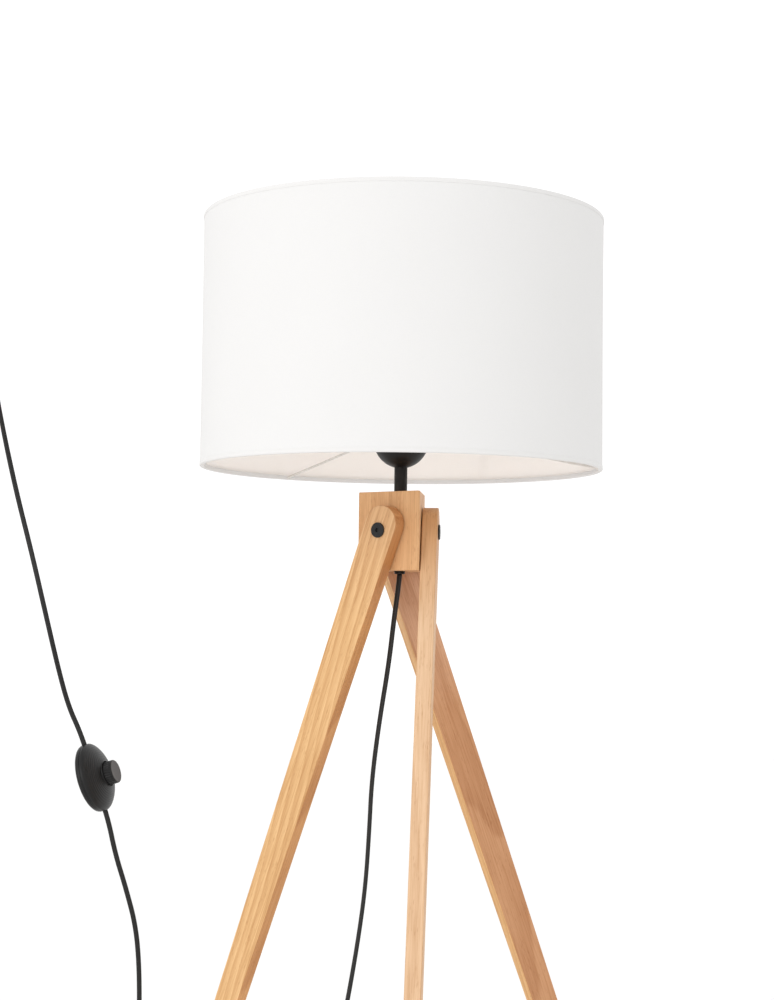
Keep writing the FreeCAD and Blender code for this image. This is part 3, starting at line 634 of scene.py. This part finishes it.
def cord_sheath(name):
    """Extruded black sheath: satin, with faint draw lines and handling marks."""
    nodes = Nodes(name)
    mottled = nodes.noise(nodes.place, 60.0, 2.0, 0.5)
    long_waves = nodes.noise(nodes.place, 12.0, 2.0, 0.5)
    fine = nodes.noise(nodes.scaled(nodes.place, (4200.0, 4200.0, 160.0)), 1.0, 2.0, 0.6)
    shade = nodes.math("MULTIPLY_ADD", mottled, 0.5, nodes.math("MULTIPLY", long_waves, 0.5))
    colour = nodes.ramp(shade, [(0.35, (0.0050, 0.0048, 0.0045)), (0.65, (0.0085, 0.0080, 0.0075))])
    nodes.surface(colour, nodes.between(mottled, 0.3, 0.7, 0.42, 0.50), Specular_IOR_Level=0.36)
    nodes.bump(fine, 0.10, 0.00005)
    return nodes.material


def plated(name, tone, roughness):
    """Plated or turned metal with fine tool lines and dull spots."""
    nodes = Nodes(name)
    lines = nodes.noise(nodes.scaled(nodes.place, (1.0, 1.0, 26.0)), 90.0, 3.0, 0.6)
    dull = nodes.noise(nodes.place, 260.0, 3.0, 0.6)
    colour = nodes.ramp(dull, [(0.28, times(tone, 0.82)), (0.66, tone)])
    tooled = nodes.between(lines, 0.2, 0.8, roughness, roughness + 0.1)
    nodes.surface(colour, nodes.math("MULTIPLY_ADD", dull, 0.16, tooled), Metallic=1.0)
    nodes.bump(lines, 0.15, 0.00006)
    return nodes.material


def coated_wire(name):
    """Thick cream coating on steel wire, with slight runs and pale worn spots."""
    nodes = Nodes(name)
    runs = nodes.noise(nodes.place, 240.0, 2.0, 0.5)
    fine = nodes.noise(nodes.place, 1900.0, 2.0, 0.5)
    colour = nodes.ramp(runs, [(0.3, (0.60, 0.56, 0.52)), (0.7, (0.70, 0.665, 0.63))])
    nodes.surface(colour, nodes.between(fine, 0.2, 0.8, 0.34, 0.50), Specular_IOR_Level=0.5)
    nodes.bump(nodes.math("MULTIPLY_ADD", fine, 0.3, runs), 0.25, 0.00012)
    return nodes.material


def glazed_porcelain(name):
    """White glazed porcelain with tiny pits."""
    nodes = Nodes(name)
    pits = nodes.cells(nodes.place, 700.0)
    cloud = nodes.noise(nodes.place, 90.0, 3.0)
    colour = nodes.ramp(cloud, [(0.3, (0.76, 0.74, 0.69)), (0.7, (0.83, 0.82, 0.78))])
    nodes.surface(colour, nodes.between(pits, 0.05, 0.2, 0.5, 0.14))
    nodes.bump(nodes.between(pits, 0.0, 0.12), 0.2, 0.0001)
    return nodes.material


def soft_rubber(name, tone):
    """Dull rubber with dust in its pores."""
    nodes = Nodes(name)
    pores = nodes.noise(nodes.place, 1800.0, 3.0, 0.6)
    dust = nodes.noise(nodes.place, 160.0, 3.0, 0.6)
    colour = nodes.ramp(dust, [(0.35, tone), (0.75, times(tone, 1.7))])
    nodes.surface(colour, nodes.between(pores, 0.2, 0.8, 0.72, 0.88), Specular_IOR_Level=0.3)
    nodes.bump(pores, 0.3, 0.00012)
    return nodes.material


def pale_floor(name):
    """Nearly white studio floor, a little uneven."""
    nodes = Nodes(name)
    cloud = nodes.noise(nodes.place, 2.0, 3.0)
    fine = nodes.noise(nodes.place, 300.0, 2.0)
    colour = nodes.ramp(cloud, [(0.3, (0.90, 0.90, 0.895)), (0.7, (0.93, 0.93, 0.925))])
    nodes.surface(colour, nodes.between(fine, 0.2, 0.8, 0.6, 0.7))
    return nodes.material


# ---- wood on the CAD pieces
def leg_axes(azimuth, splay):
    """Unit vectors along a leg, towards its foot, and across its broad face."""
    out = outward(azimuth - 90)
    along = out * math.sin(splay) - Z_AXIS * math.cos(splay)
    width = out * math.cos(splay) + Z_AXIS * math.sin(splay)
    return along, width


def dress(node, material):
    """Give a CAD node its material."""
    slots = frame["nodes"][node].data.materials
    slots.clear()
    slots.append(material)


def make_wood():
    """Each board is cut from its own place in the tree; its tones are partly the wood's own and partly
    painted light and shade for how it is lit.
    """
    # per leg, the tone and the side tone are partly the wood's own colour and partly painted light and
    # shade; head is painted shade and light under the head block
    cuts = {
        "front": dict(
            pith=(0.10, 0.055), tilt=0.03, figure=0.6, tone=(0.645, 0.397, 0.209),
            painted_side_light_tone=(0.69, 0.455, 0.275), seed=1.0, head=(0.835, 0.67, 0.48),
        ),
        "right": dict(
            pith=(0.035, 0.085), tilt=0.10, figure=0.8, tone=(0.51, 0.255, 0.122),
            painted_side_light_tone=(0.66, 0.375, 0.145), seed=2.3, head=(1.15, 1.29, 1.62), drop=0.09,
        ),
        "left": dict(
            pith=(0.014, 0.034), tilt=0.06, figure=1.0, tone=(0.70, 0.43, 0.200),
            painted_side_light_tone=(0.575, 0.280, 0.102), seed=3.1, head=(0.94, 0.915, 0.99),
        ),
    }
    for side, azimuth in FACE_AZIMUTHS.items():
        along, width = leg_axes(azimuth, LEG_SPLAY)
        dress("leg_" + side, beech("beech_leg_" + side, along, width, **cuts[side]))
    block = beech(
        "beech_block", Z_AXIS, Vector((1, 0, 0)), pith=(0.03, 0.10), tilt=0.02, figure=0.4,
        tone=(0.67, 0.382, 0.183), painted_side_light_tone=(0.67, 0.382, 0.183), seed=4.4,
    )
    dress("head_block", block)


# ---- other CAD pieces
SWITCH_PLASTICS = ("switch_base", "switch_mechanism", "cord_clamps")


def dress_fittings(plastic, zinc, sheath):
    """Materials of the metal, plastic and rubber pieces that keep their CAD shape."""
    coat = powder_coat("black_powder_coat", (0.0060, 0.0046, 0.0036))
    bolt_black = powder_coat("bolt_black_oxide", (0.013, 0.013, 0.013), 0.36)
    brass = plated("turned_brass", (0.72, 0.50, 0.22), 0.24)
    rubber = soft_rubber("pad_rubber", (0.03, 0.03, 0.03))
    nylon = soft_rubber("natural_nylon", (0.62, 0.58, 0.50))
    insulation = soft_rubber("core_insulation", (0.16, 0.07, 0.03))
    groups = (
        (coat, "cup", "stem"),
        (bolt_black, "leg_bolts"),
        (zinc, "threaded_tube", "bottom_nut", "cup_nut", "switch_screws"),
        (brass, "leg_inserts", "terminal_screws", "centre_contact"),
        (nylon, "leg_washers"),
        (glazed_porcelain("porcelain"), "holder_insert"),
        (sheath, "stem_cable"),
        (insulation, "core_wires", "switch_conductors"),
        (plastic, "cord_gland", "holder_cap", *SWITCH_PLASTICS),
        (rubber, *("foot_pad_" + side for side in FACE_AZIMUTHS)),
    )
    for material, *nodes in groups:
        for node in nodes:
            dress(node, material)


# ---- shade
def cover_outline():
    """Section of the laminated sheet as a closed outline."""
    outer = SHADE_RADIUS - TRIM_WALL
    low = SHADE_BOTTOM + TRIM_WALL + GLUE_LINE
    high = SHADE_TOP - TRIM_WALL - GLUE_LINE
    steps = 40
    up = [(outer, low + (high - low) * k / steps) for k in range(steps + 1)]
    down = [(outer - COVER_WALL, z) for _, z in reversed(up)]
    return up + down


def cover_swell(angle, index, radius, height):
    """Slight waves of the stretched sheet, and the step inside where its ends overlap."""
    rise = (height - SHADE_BOTTOM) / (SHADE_TOP - SHADE_BOTTOM)
    free = math.sin(math.pi * min(max(rise, 0.0), 1.0))
    wave = noise.noise(Vector((math.cos(angle) * 1.4, math.sin(angle) * 1.4, rise * 1.2 + 5.0)))
    swell = (WAVE_HEIGHT * (wave - 0.5) - SHEET_PULL) * free
    along_seam = (angle - math.radians(SEAM_AZIMUTH)) * SHADE_RADIUS
    inside = radius < SHADE_RADIUS - 0.001
    if inside and abs(along_seam) < SEAM_OVERLAP / 2:
        swell -= SEAM_STEP
    return swell


def make_shade(fabric, hem_fabric, lining):
    """The laminated cover, fabric outside and lining inside, with its two hems."""
    outline = cover_outline()
    skin = turned(outline, SHADE_SEGMENTS, wobble=cover_swell)
    cover = new_piece("shade_fabric", skin, fabric, 40)
    cover.data.materials.append(lining)
    count = len(outline)
    for face in cover.data.polygons:
        if count // 2 <= face.index % count < count - 1:
            face.material_index = 1
    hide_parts("shade_cover")
    hems = [
        make_hem("shade_hem_bottom", False, hem_fabric),
        make_hem("shade_hem_top", True, hem_fabric),
    ]
    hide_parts("shade_bottom_trim")
    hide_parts("shade_top_trim")


def make_hem(name, top, material):
    """Folded fabric band glued round a rim wire: rounded on the rim, thin at its edges."""
    outer = SHADE_RADIUS
    inner = WIRE_RING_RADIUS - RING_WIRE_RADIUS - WIRE_GAP - TRIM_WALL
    bend = 0.0012
    outline = [
        (outer - 0.00036, TRIM_HEIGHT),
        (outer - 0.00012, TRIM_HEIGHT - 0.00003),
        (outer, TRIM_HEIGHT - 0.0005),
        (outer, TRIM_HEIGHT * 0.5),
    ]
    outline += arc((outer - bend, bend), bend, 0, -90, 6)
    outline += arc((inner + bend, bend), bend, -90, -180, 6)
    outline += [
        (inner, TRIM_HEIGHT * 0.5),
        (inner, TRIM_HEIGHT - 0.0004),
        (inner + 0.0003, TRIM_HEIGHT),
        (inner + TRIM_WALL, TRIM_HEIGHT),
        (inner + TRIM_WALL, TRIM_WALL + 0.0001),
        (outer - TRIM_WALL, TRIM_WALL + 0.0001),
    ]

    def ripple(angle, index, radius, height):
        place = Vector((math.cos(angle) * 40, math.sin(angle) * 40, 3.0 if top else 0.0))
        return -0.00006 * (0.5 + 0.5 * noise.noise(place)) if radius > SHADE_RADIUS - 0.0004 else 0.0

    if top:
        place = Matrix.Translation((0, 0, SHADE_TOP)) @ Matrix.Diagonal((1, 1, -1, 1))
    else:
        place = Matrix.Translation((0, 0, SHADE_BOTTOM))
    vertices, faces = turned(outline, SHADE_SEGMENTS, place, ripple)
    if top:
        faces = [face[::-1] for face in faces]
    return new_piece(name, (vertices, faces), material, 60)


def rim_wire(height):
    """Skin of a level ring of wire."""
    line = [Vector((x, y, height)) for x, y in circle(WIRE_RING_RADIUS, 360)]
    return swept(line, circle(RING_WIRE_RADIUS, WIRE_SIDES), Z_AXIS, closed=True)


def make_shade_wires(material):
    """Upper rim wire, and the lower one with its three arms and hub."""
    top = new_piece("shade_top_wire", rim_wire(SHADE_TOP - WIRE_RING_INSET), material)
    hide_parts("shade_top_ring")
    height = SHADE_BOTTOM + WIRE_RING_INSET
    parts = [rim_wire(height)]
    for azimuth in ARM_AZIMUTHS:
        out = outward(azimuth)
        start = out * WIRE_RING_RADIUS + Z_AXIS * height
        end = out * ARM_END + Z_AXIS * (HUB_HEIGHT - 0.0006)
        steps = 60
        line = [start.lerp(end, k / steps) for k in range(steps + 1)]
        welds = []
        for k in range(steps + 1):
            from_rim = (WIRE_RING_RADIUS - ARM_END) * k / steps
            blob = 0.55 * math.exp(-((from_rim / 0.0022) ** 2))
            blob += 0.30 * math.exp(-(((WIRE_RING_RADIUS - ARM_END - from_rim) / 0.003) ** 2))
            welds.append(1.0 + blob)
        parts.append(swept(line, circle(ARM_RADIUS, WIRE_SIDES), Z_AXIS, scale=welds))
    low, high = HUB_HEIGHT - 0.0008, HUB_HEIGHT + 0.0008
    edge = 0.0003
    hub = [
        (HUB_BORE + edge, low), (HUB_RADIUS - edge, low), (HUB_RADIUS, low + edge),
        (HUB_RADIUS, high - edge), (HUB_RADIUS - edge, high), (HUB_BORE + edge, high),
        (HUB_BORE, high - edge), (HUB_BORE, low + edge),
    ]
    parts.append(turned(hub, 96))
    carrier = new_piece("shade_wire_carrier", joined(*parts), material, 40)
    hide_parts("shade_carrier")


# ---- lamp holder
def screw_thread(radius, depth, pitch, low, high, fade, back):
    """A round wall, plain at its inner radius back, with a rounded screw thread outside."""
    rows = int(round((high - low) / (pitch / 12)))
    vertices = []
    for k in range(HOLDER_SEGMENTS):
        angle = 2 * math.pi * k / HOLDER_SEGMENTS
        for i in range(rows + 1):
            height = low + (high - low) * i / rows
            phase = 2 * math.pi * (height / pitch) - angle
            near_end = min(height - low, high - height)
            soft = min(1.0, near_end / fade)
            r = radius + depth * 0.5 * (math.cos(phase) - 1.0) * soft
            vertices.append(Vector((r * math.cos(angle), r * math.sin(angle), height)))
        for height in (high, low):
            vertices.append(Vector((back * math.cos(angle), back * math.sin(angle), height)))
    return vertices, [(a, d, c, b) for a, b, c, d in quads(HOLDER_SEGMENTS, rows + 3)]


def holder_skin(outline):
    """A turned skin whose outline gives heights over the shade's lower rim."""
    return turned([(radius, SHADE_BOTTOM + height) for radius, height in outline], HOLDER_SEGMENTS)


def make_lamp_holder(plastic, nickel):
    """Threaded holder body, its clamping ring with grips, and the screw shell."""
    thread = screw_thread(
        HOLDER_RADIUS, 0.0008, 0.0025, SHADE_BOTTOM + 0.0352, SHADE_BOTTOM + 0.0565, 0.0012, HOLDER_BORE
    )
    lower = holder_skin([
        (0.0169, 0.0241), (0.0188, 0.0241), (0.019, 0.0244), (0.019, 0.0336), (0.0222, 0.0336),
        (0.0225, 0.0339), (0.0225, 0.0349), (0.0222, 0.0352), (HOLDER_BORE, 0.0352),
        (HOLDER_BORE, 0.0263), (0.0169, 0.0262),
    ])
    lip = holder_skin([
        (HOLDER_BORE, 0.0545), (HOLDER_BORE, 0.0565), (0.0191, 0.0565), (0.0192, 0.0568), (0.019, 0.057),
        (0.0147, 0.057), (0.0144, 0.0567), (0.0144, 0.0548), (0.0147, 0.0545),
    ])
    shell = new_piece("lamp_holder_shell", joined(thread, lower, lip), plastic, 35)
    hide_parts("holder_body")

    low = HUB_HEIGHT + 0.0009
    outline = [
        (0.0196, low), (0.0252, low), (0.0255, low + 0.0003), (0.0255, low + 0.0018),
        (0.0255, low + 0.0022), (0.0255, low + 0.0074), (0.0249, low + 0.008), (0.0196, low + 0.008),
    ]
    spacing = 15.0

    def grips(angle, index, radius, height):
        if not 4 <= index <= 6:
            return 0.0
        across = (math.degrees(angle) + spacing / 2) % spacing - spacing / 2
        return -0.0012 * math.exp(-((across / 3.2) ** 4))

    skin = turned(outline, 192, wobble=grips)
    ring = new_piece("shade_clamp_ring", skin, plastic, 35)
    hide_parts("shade_ring")

    wall = screw_thread(
        0.0138, 0.0005, 0.00363, SHADE_BOTTOM + 0.0279, SHADE_BOTTOM + 0.053, 0.001, 0.0132
    )
    floor = holder_skin([
        (0.0080, 0.0263), (0.0142, 0.0263), (0.0144, 0.0265), (0.0144, 0.0277), (0.0142, 0.0279),
        (0.0135, 0.0279), (0.0135, 0.0274), (0.0139, 0.0274), (0.0139, 0.0268), (0.0080, 0.0268),
    ])
    screw = new_piece("bulb_screw_shell", joined(wall, floor), nickel, 35)
    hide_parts("screw_shell")


# ---- foot switch
def dome_height(radius):
    """Height of the cover's domed face over the switch's underside."""
    share = max(0.0, 1.0 - (min(radius, SWITCH_RADIUS) / SWITCH_RADIUS) ** DOME_FULLNESS)
    return COVER_RIM_HEIGHT + DOME_RISE * share ** (1.0 / DOME_FULLNESS)


def groove_depth(radius):
    """Depth of the fine rings turned in the dome."""
    if not 0.0165 < radius < 0.0330:
        return 0.0
    return 0.00008 * (1.0 - math.cos(2 * math.pi * radius / 0.0022))


def open_for_cord(vertices):
    """Raise the cover's rim into an arch over each of the two cord passages."""
    for vertex in vertices:
        if math.hypot(vertex.x, vertex.y) < 0.030 or abs(vertex.y) > CORD_PASSAGE:
            continue
        arch = SWITCH_CORD_HEIGHT + math.sqrt(CORD_PASSAGE ** 2 - vertex.y ** 2)
        vertex.z = max(vertex.z, arch)


def make_switch_cover(plastic):
    """Domed cover with turned rings, a collar round the button and two cord passages."""
    steps = 150
    outer = []
    for k in range(steps + 1):
        radius = DOME_EDGE + (SWITCH_RADIUS - DOME_EDGE) * math.cos(math.pi / 2 * k / steps)
        outer.append((radius, dome_height(radius) - groove_depth(radius)))
    outline = [(SWITCH_RADIUS - 0.0003, SEAM_HEIGHT), (SWITCH_RADIUS, SEAM_HEIGHT + 0.0003)]
    outline += outer
    bore = BUTTON_RADIUS + 0.0004
    outline += [
        (0.0139, 0.0202), (0.0138, COLLAR_HEIGHT - 0.0002), (0.0136, COLLAR_HEIGHT),
        (0.0134, COLLAR_HEIGHT), (0.0133, COLLAR_HEIGHT - 0.0002), (0.0132, 0.0184),
        (bore, 0.0182), (bore, LEDGE_HEIGHT), (LEDGE_RADIUS, LEDGE_HEIGHT),
    ]
    inner = SWITCH_RADIUS - SWITCH_WALL
    steps = 40
    for k in range(steps + 1):
        radius = LEDGE_RADIUS + (inner - LEDGE_RADIUS) * math.sin(math.pi / 2 * k / steps)
        outline.append((radius, dome_height(radius * SWITCH_RADIUS / inner) - 0.0014))
    outline.append((inner, SEAM_HEIGHT))
    shell = turned(outline, 400)
    open_for_cord(shell[0])
    post = [(0.00115, 0.0091), (0.0030, 0.0091), (0.0030, 0.0125), (0.00115, 0.0125)]
    posts = [turned(post, 24, Matrix.Translation(SCREW_CIRCLE * outward(a))) for a in (90, 210, 330)]
    vertices, faces = joined(shell, *posts)
    skin = ([SWITCH_FRAME @ vertex for vertex in vertices], faces)
    cover = new_piece("switch_dome", skin, plastic, 35)
    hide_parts("switch_cover")
    return cover


def make_button(plastic, painted_light_face_plastic):
    """Hollow push button with a knurled wall and a slightly dished face in a lighter, matt plastic whose
    lighter tone is painted light.
    """
    face = BUTTON_FACE_HEIGHT
    inner = BUTTON_RADIUS - 0.002
    low, high = 0.0155, face - 0.0014
    wall = [(BUTTON_RADIUS, low + (high - low) * k / 12) for k in range(13)]
    outline = [(inner, 0.0133), (0.0143, 0.0133), (0.0143, 0.0147), (BUTTON_RADIUS, 0.0147)]
    outline += wall
    outline += [
        (0.0120, face - 0.0007), (0.0116, face - 0.0002), (0.0112, face), (0.0106, face),
        (0.0102, face - 0.0001), (0.0070, face - 0.0003), (0.0035, face - 0.0004),
        (0.0, face - 0.0004), (0.0, face - 0.003), (inner, face - 0.003),
    ]

    def knurl(angle, index, radius, height):
        if not 5 <= index <= 15:
            return 0.0
        return -0.00045 * (0.5 - 0.5 * math.cos(32 * angle)) ** 0.7

    vertices, faces = turned(outline, 384, wobble=knurl)
    face_from = face - 0.00045
    on_face = [all(vertices[i].z > face_from for i in quad) for quad in faces]
    skin = ([SWITCH_FRAME @ vertex for vertex in vertices], faces)
    button = new_piece("switch_knob", skin, plastic, 30, "foot_button")
    button.data.materials.append(painted_light_face_plastic)
    for polygon, is_face in zip(button.data.polygons, on_face):
        polygon.material_index = int(is_face)
    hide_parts("switch_button")
    return button


def make_spring(steel):
    """Compression spring with closed ends."""
    turns = 7.5
    wire = 0.0005
    low, high = SPRING_LOW + wire, SPRING_HIGH - wire
    steps = 300
    closed_rise = 2.1 * wire
    pitch = (high - low - 2 * closed_rise) / (turns - 2)
    line = []
    for k in range(steps + 1):
        turn = turns * k / steps
        height = low + closed_rise * min(turn, 1.0)
        height += pitch * min(max(turn - 1.0, 0.0), turns - 2)
        height += closed_rise * max(turn - turns + 1.0, 0.0)
        angle = 2 * math.pi * turn
        point = Vector((SPRING_RADIUS * math.cos(angle), SPRING_RADIUS * math.sin(angle), height))
        line.append(SWITCH_FRAME @ point)
    coil = swept(line, circle(wire, 10), SWITCH_FACING)
    spring = new_piece("switch_coil_spring", coil, steel)
    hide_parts("button_spring")
    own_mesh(spring)
    return spring


def make_switch(plastic, zinc):
    """The pieces of the foot switch, with the CAD pieces inside it."""
    # painted light: the button's face gets a lighter tone where it faces the light
    lit_knob_face = moulded_plastic("button_face_painted_light", (0.080, 0.074, 0.072), 0.5)
    pieces = [make_switch_cover(plastic), make_button(plastic, lit_knob_face), make_spring(zinc)]
    for node in (*SWITCH_PLASTICS, "switch_conductors", "switch_screws"):
        pieces.append(frame["nodes"][node])
    return pieces


# ---- plug
def plug_axes():
    """The plug's frame with Z along its pins and X across them, at the cord's far end."""
    ahead = (PLUG_ROUTE[-1] - PLUG_ROUTE[-2]).normalized()
    across = ahead.cross(Vector((0, 1, 0))).normalized()
    return axes_matrix(PLUG_ROUTE[-1], across, ahead.cross(across), ahead)


def superellipse(half_width, half_height, power, sides):
    """Section points of a rounded rectangle."""
    points = []
    for cosine, sine in circle(1.0, sides):
        x = math.copysign(abs(cosine) ** (2 / power), cosine) * half_width
        y = math.copysign(abs(sine) ** (2 / power), sine) * half_height
        points.append((x, y))
    return points


def lofted(sections, place):
    """A closed skin through (height, section points) layers."""
    count = len(sections[0][1])
    vertices = [place @ Vector((x, y, height)) for height, points in sections for x, y in points]
    return vertices, tube_faces(len(sections), count)


def make_plug(plastic, nickel):
    """Tapered strain relief with rings, flat plug body with finger grips, and two pins."""
    place = plug_axes()
    outline = [(0.0, 0.0), (0.0028, 0.0)]
    steps = 160
    for k in range(steps + 1):
        share = k / steps
        rings = 0.5 - 0.5 * math.cos(2 * math.pi * share * 7)
        radius = 0.0033 + 0.0019 * share - 0.0006 * rings ** 3 * math.sin(math.pi * share)
        outline.append((radius, 0.0002 + (BOOT_LENGTH - 0.0002) * share))
    outline.append((0.0, BOOT_LENGTH))
    skin = turned(outline, 48, place)
    boot = new_piece("plug_strain_relief", skin, plastic, 50)
    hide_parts("plug_boot")

    sections = []
    steps = 180
    for k in range(steps + 1):
        share = k / steps
        near = PLUG_LENGTH * share
        widen = min(1.0, near / 0.014)
        widen = widen * widen * (3 - 2 * widen)
        half_width = PLUG_NECK + (PLUG_HALF_WIDTH - PLUG_NECK) * widen
        half_width -= 0.0040 * max(0.0, (near - 0.031) / 0.005) ** 2
        half_height = 0.0068 - 0.0012 * (1 - min(1.0, near / 0.004)) ** 2
        half_height -= 0.0014 * max(0.0, (near - 0.0345) / 0.0015) ** 2
        if 0.013 < near < 0.029:
            half_width -= 0.0005 * (0.5 - 0.5 * math.cos(2 * math.pi * (near - 0.013) / 0.002))
        sections.append((BOOT_LENGTH + near, superellipse(half_width, half_height, 4.0, 96)))
    body = new_piece("plug_moulding", lofted(sections, place), plastic, 50)
    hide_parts("plug_body")

    start = BOOT_LENGTH + PLUG_LENGTH
    sleeves = []
    tips = []
    for side in (-1, 1):
        stand = place @ Matrix.Translation((side * PIN_SPACING / 2, 0, start))
        sleeve = [(0.0, -0.001), (0.0019, -0.001), (0.0019, 0.0098), (0.0018, 0.0100), (0.0, 0.0100)]
        tip = [(0.0, 0.0099), (0.0020, 0.0101), (0.0020, 0.0178)]
        tip += arc((0.0008, 0.0178), 0.0012, 0, 90, 8)
        tip.append((0.0, 0.0190))
        sleeves.append(turned(sleeve, 40, stand))
        tips.append(turned(tip, 40, stand))
    sleeve_pair = new_piece("plug_pin_sleeves", joined(*sleeves), plastic, 40)
    tip_pair = new_piece("plug_pin_tips", joined(*tips), nickel, 40)
    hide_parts("plug_pins")
    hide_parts("plug_pins")
    return [boot, body, sleeve_pair, tip_pair]


# ---- scene
def make_key_light():
    """A soft box at the front left that looks at the lamp's head."""
    data = bpy.data.lights.new("key", "AREA")
    data.shape = "RECTANGLE"
    data.size, data.size_y = KEY_SIZE
    data.energy = KEY_POWER
    lamp = new_object("key", data)
    lamp.location = KEY_PLACE
    lamp.rotation_mode = "QUATERNION"
    lamp.rotation_quaternion = (KEY_AIM - KEY_PLACE).to_track_quat("-Z", "Y")


def make_studio():
    """Pale floor, white surroundings and the key light."""
    scene = bpy.context.scene
    scene.view_settings.view_transform = "Standard"
    world = bpy.data.worlds.new("studio")
    world.use_nodes = True
    background = world.node_tree.nodes["Background"]
    background.inputs["Color"].default_value = (1.0, 1.0, 1.0, 1.0)
    background.inputs["Strength"].default_value = SURROUNDINGS
    scene.world = world
    make_key_light()
    bpy.ops.mesh.primitive_grid_add(x_subdivisions=2, y_subdivisions=2, size=30.0)
    floor = bpy.context.object
    floor.name = "studio_floor"
    floor.data.materials.append(pale_floor("pale_floor"))


def main():
    """Build everything."""
    make_camera()
    sheath = cord_sheath("cord_sheath")
    cords = make_cords(sheath)
    make_wood()
    plastic = moulded_plastic("black_moulding", (0.0080, 0.0078, 0.0078))
    zinc = plated("zinc_plate", (0.62, 0.62, 0.60), 0.30)
    nickel = plated("nickel_plate", (0.70, 0.67, 0.60), 0.20)
    dress_fittings(plastic, zinc, sheath)
    make_shade_wires(coated_wire("cream_coating"))
    make_shade(
        shade_fabric("shade_weave", (0.728, 0.721, 0.714)),
        shade_fabric("hem_weave", (0.725, 0.716, 0.707)),
        shade_fabric("shade_lining", (0.91, 0.877, 0.850), 1.0),
    )
    make_lamp_holder(plastic, nickel)
    switch_pieces = make_switch(plastic, zinc)
    plug_pieces = make_plug(plastic, nickel)
    make_studio()


main()
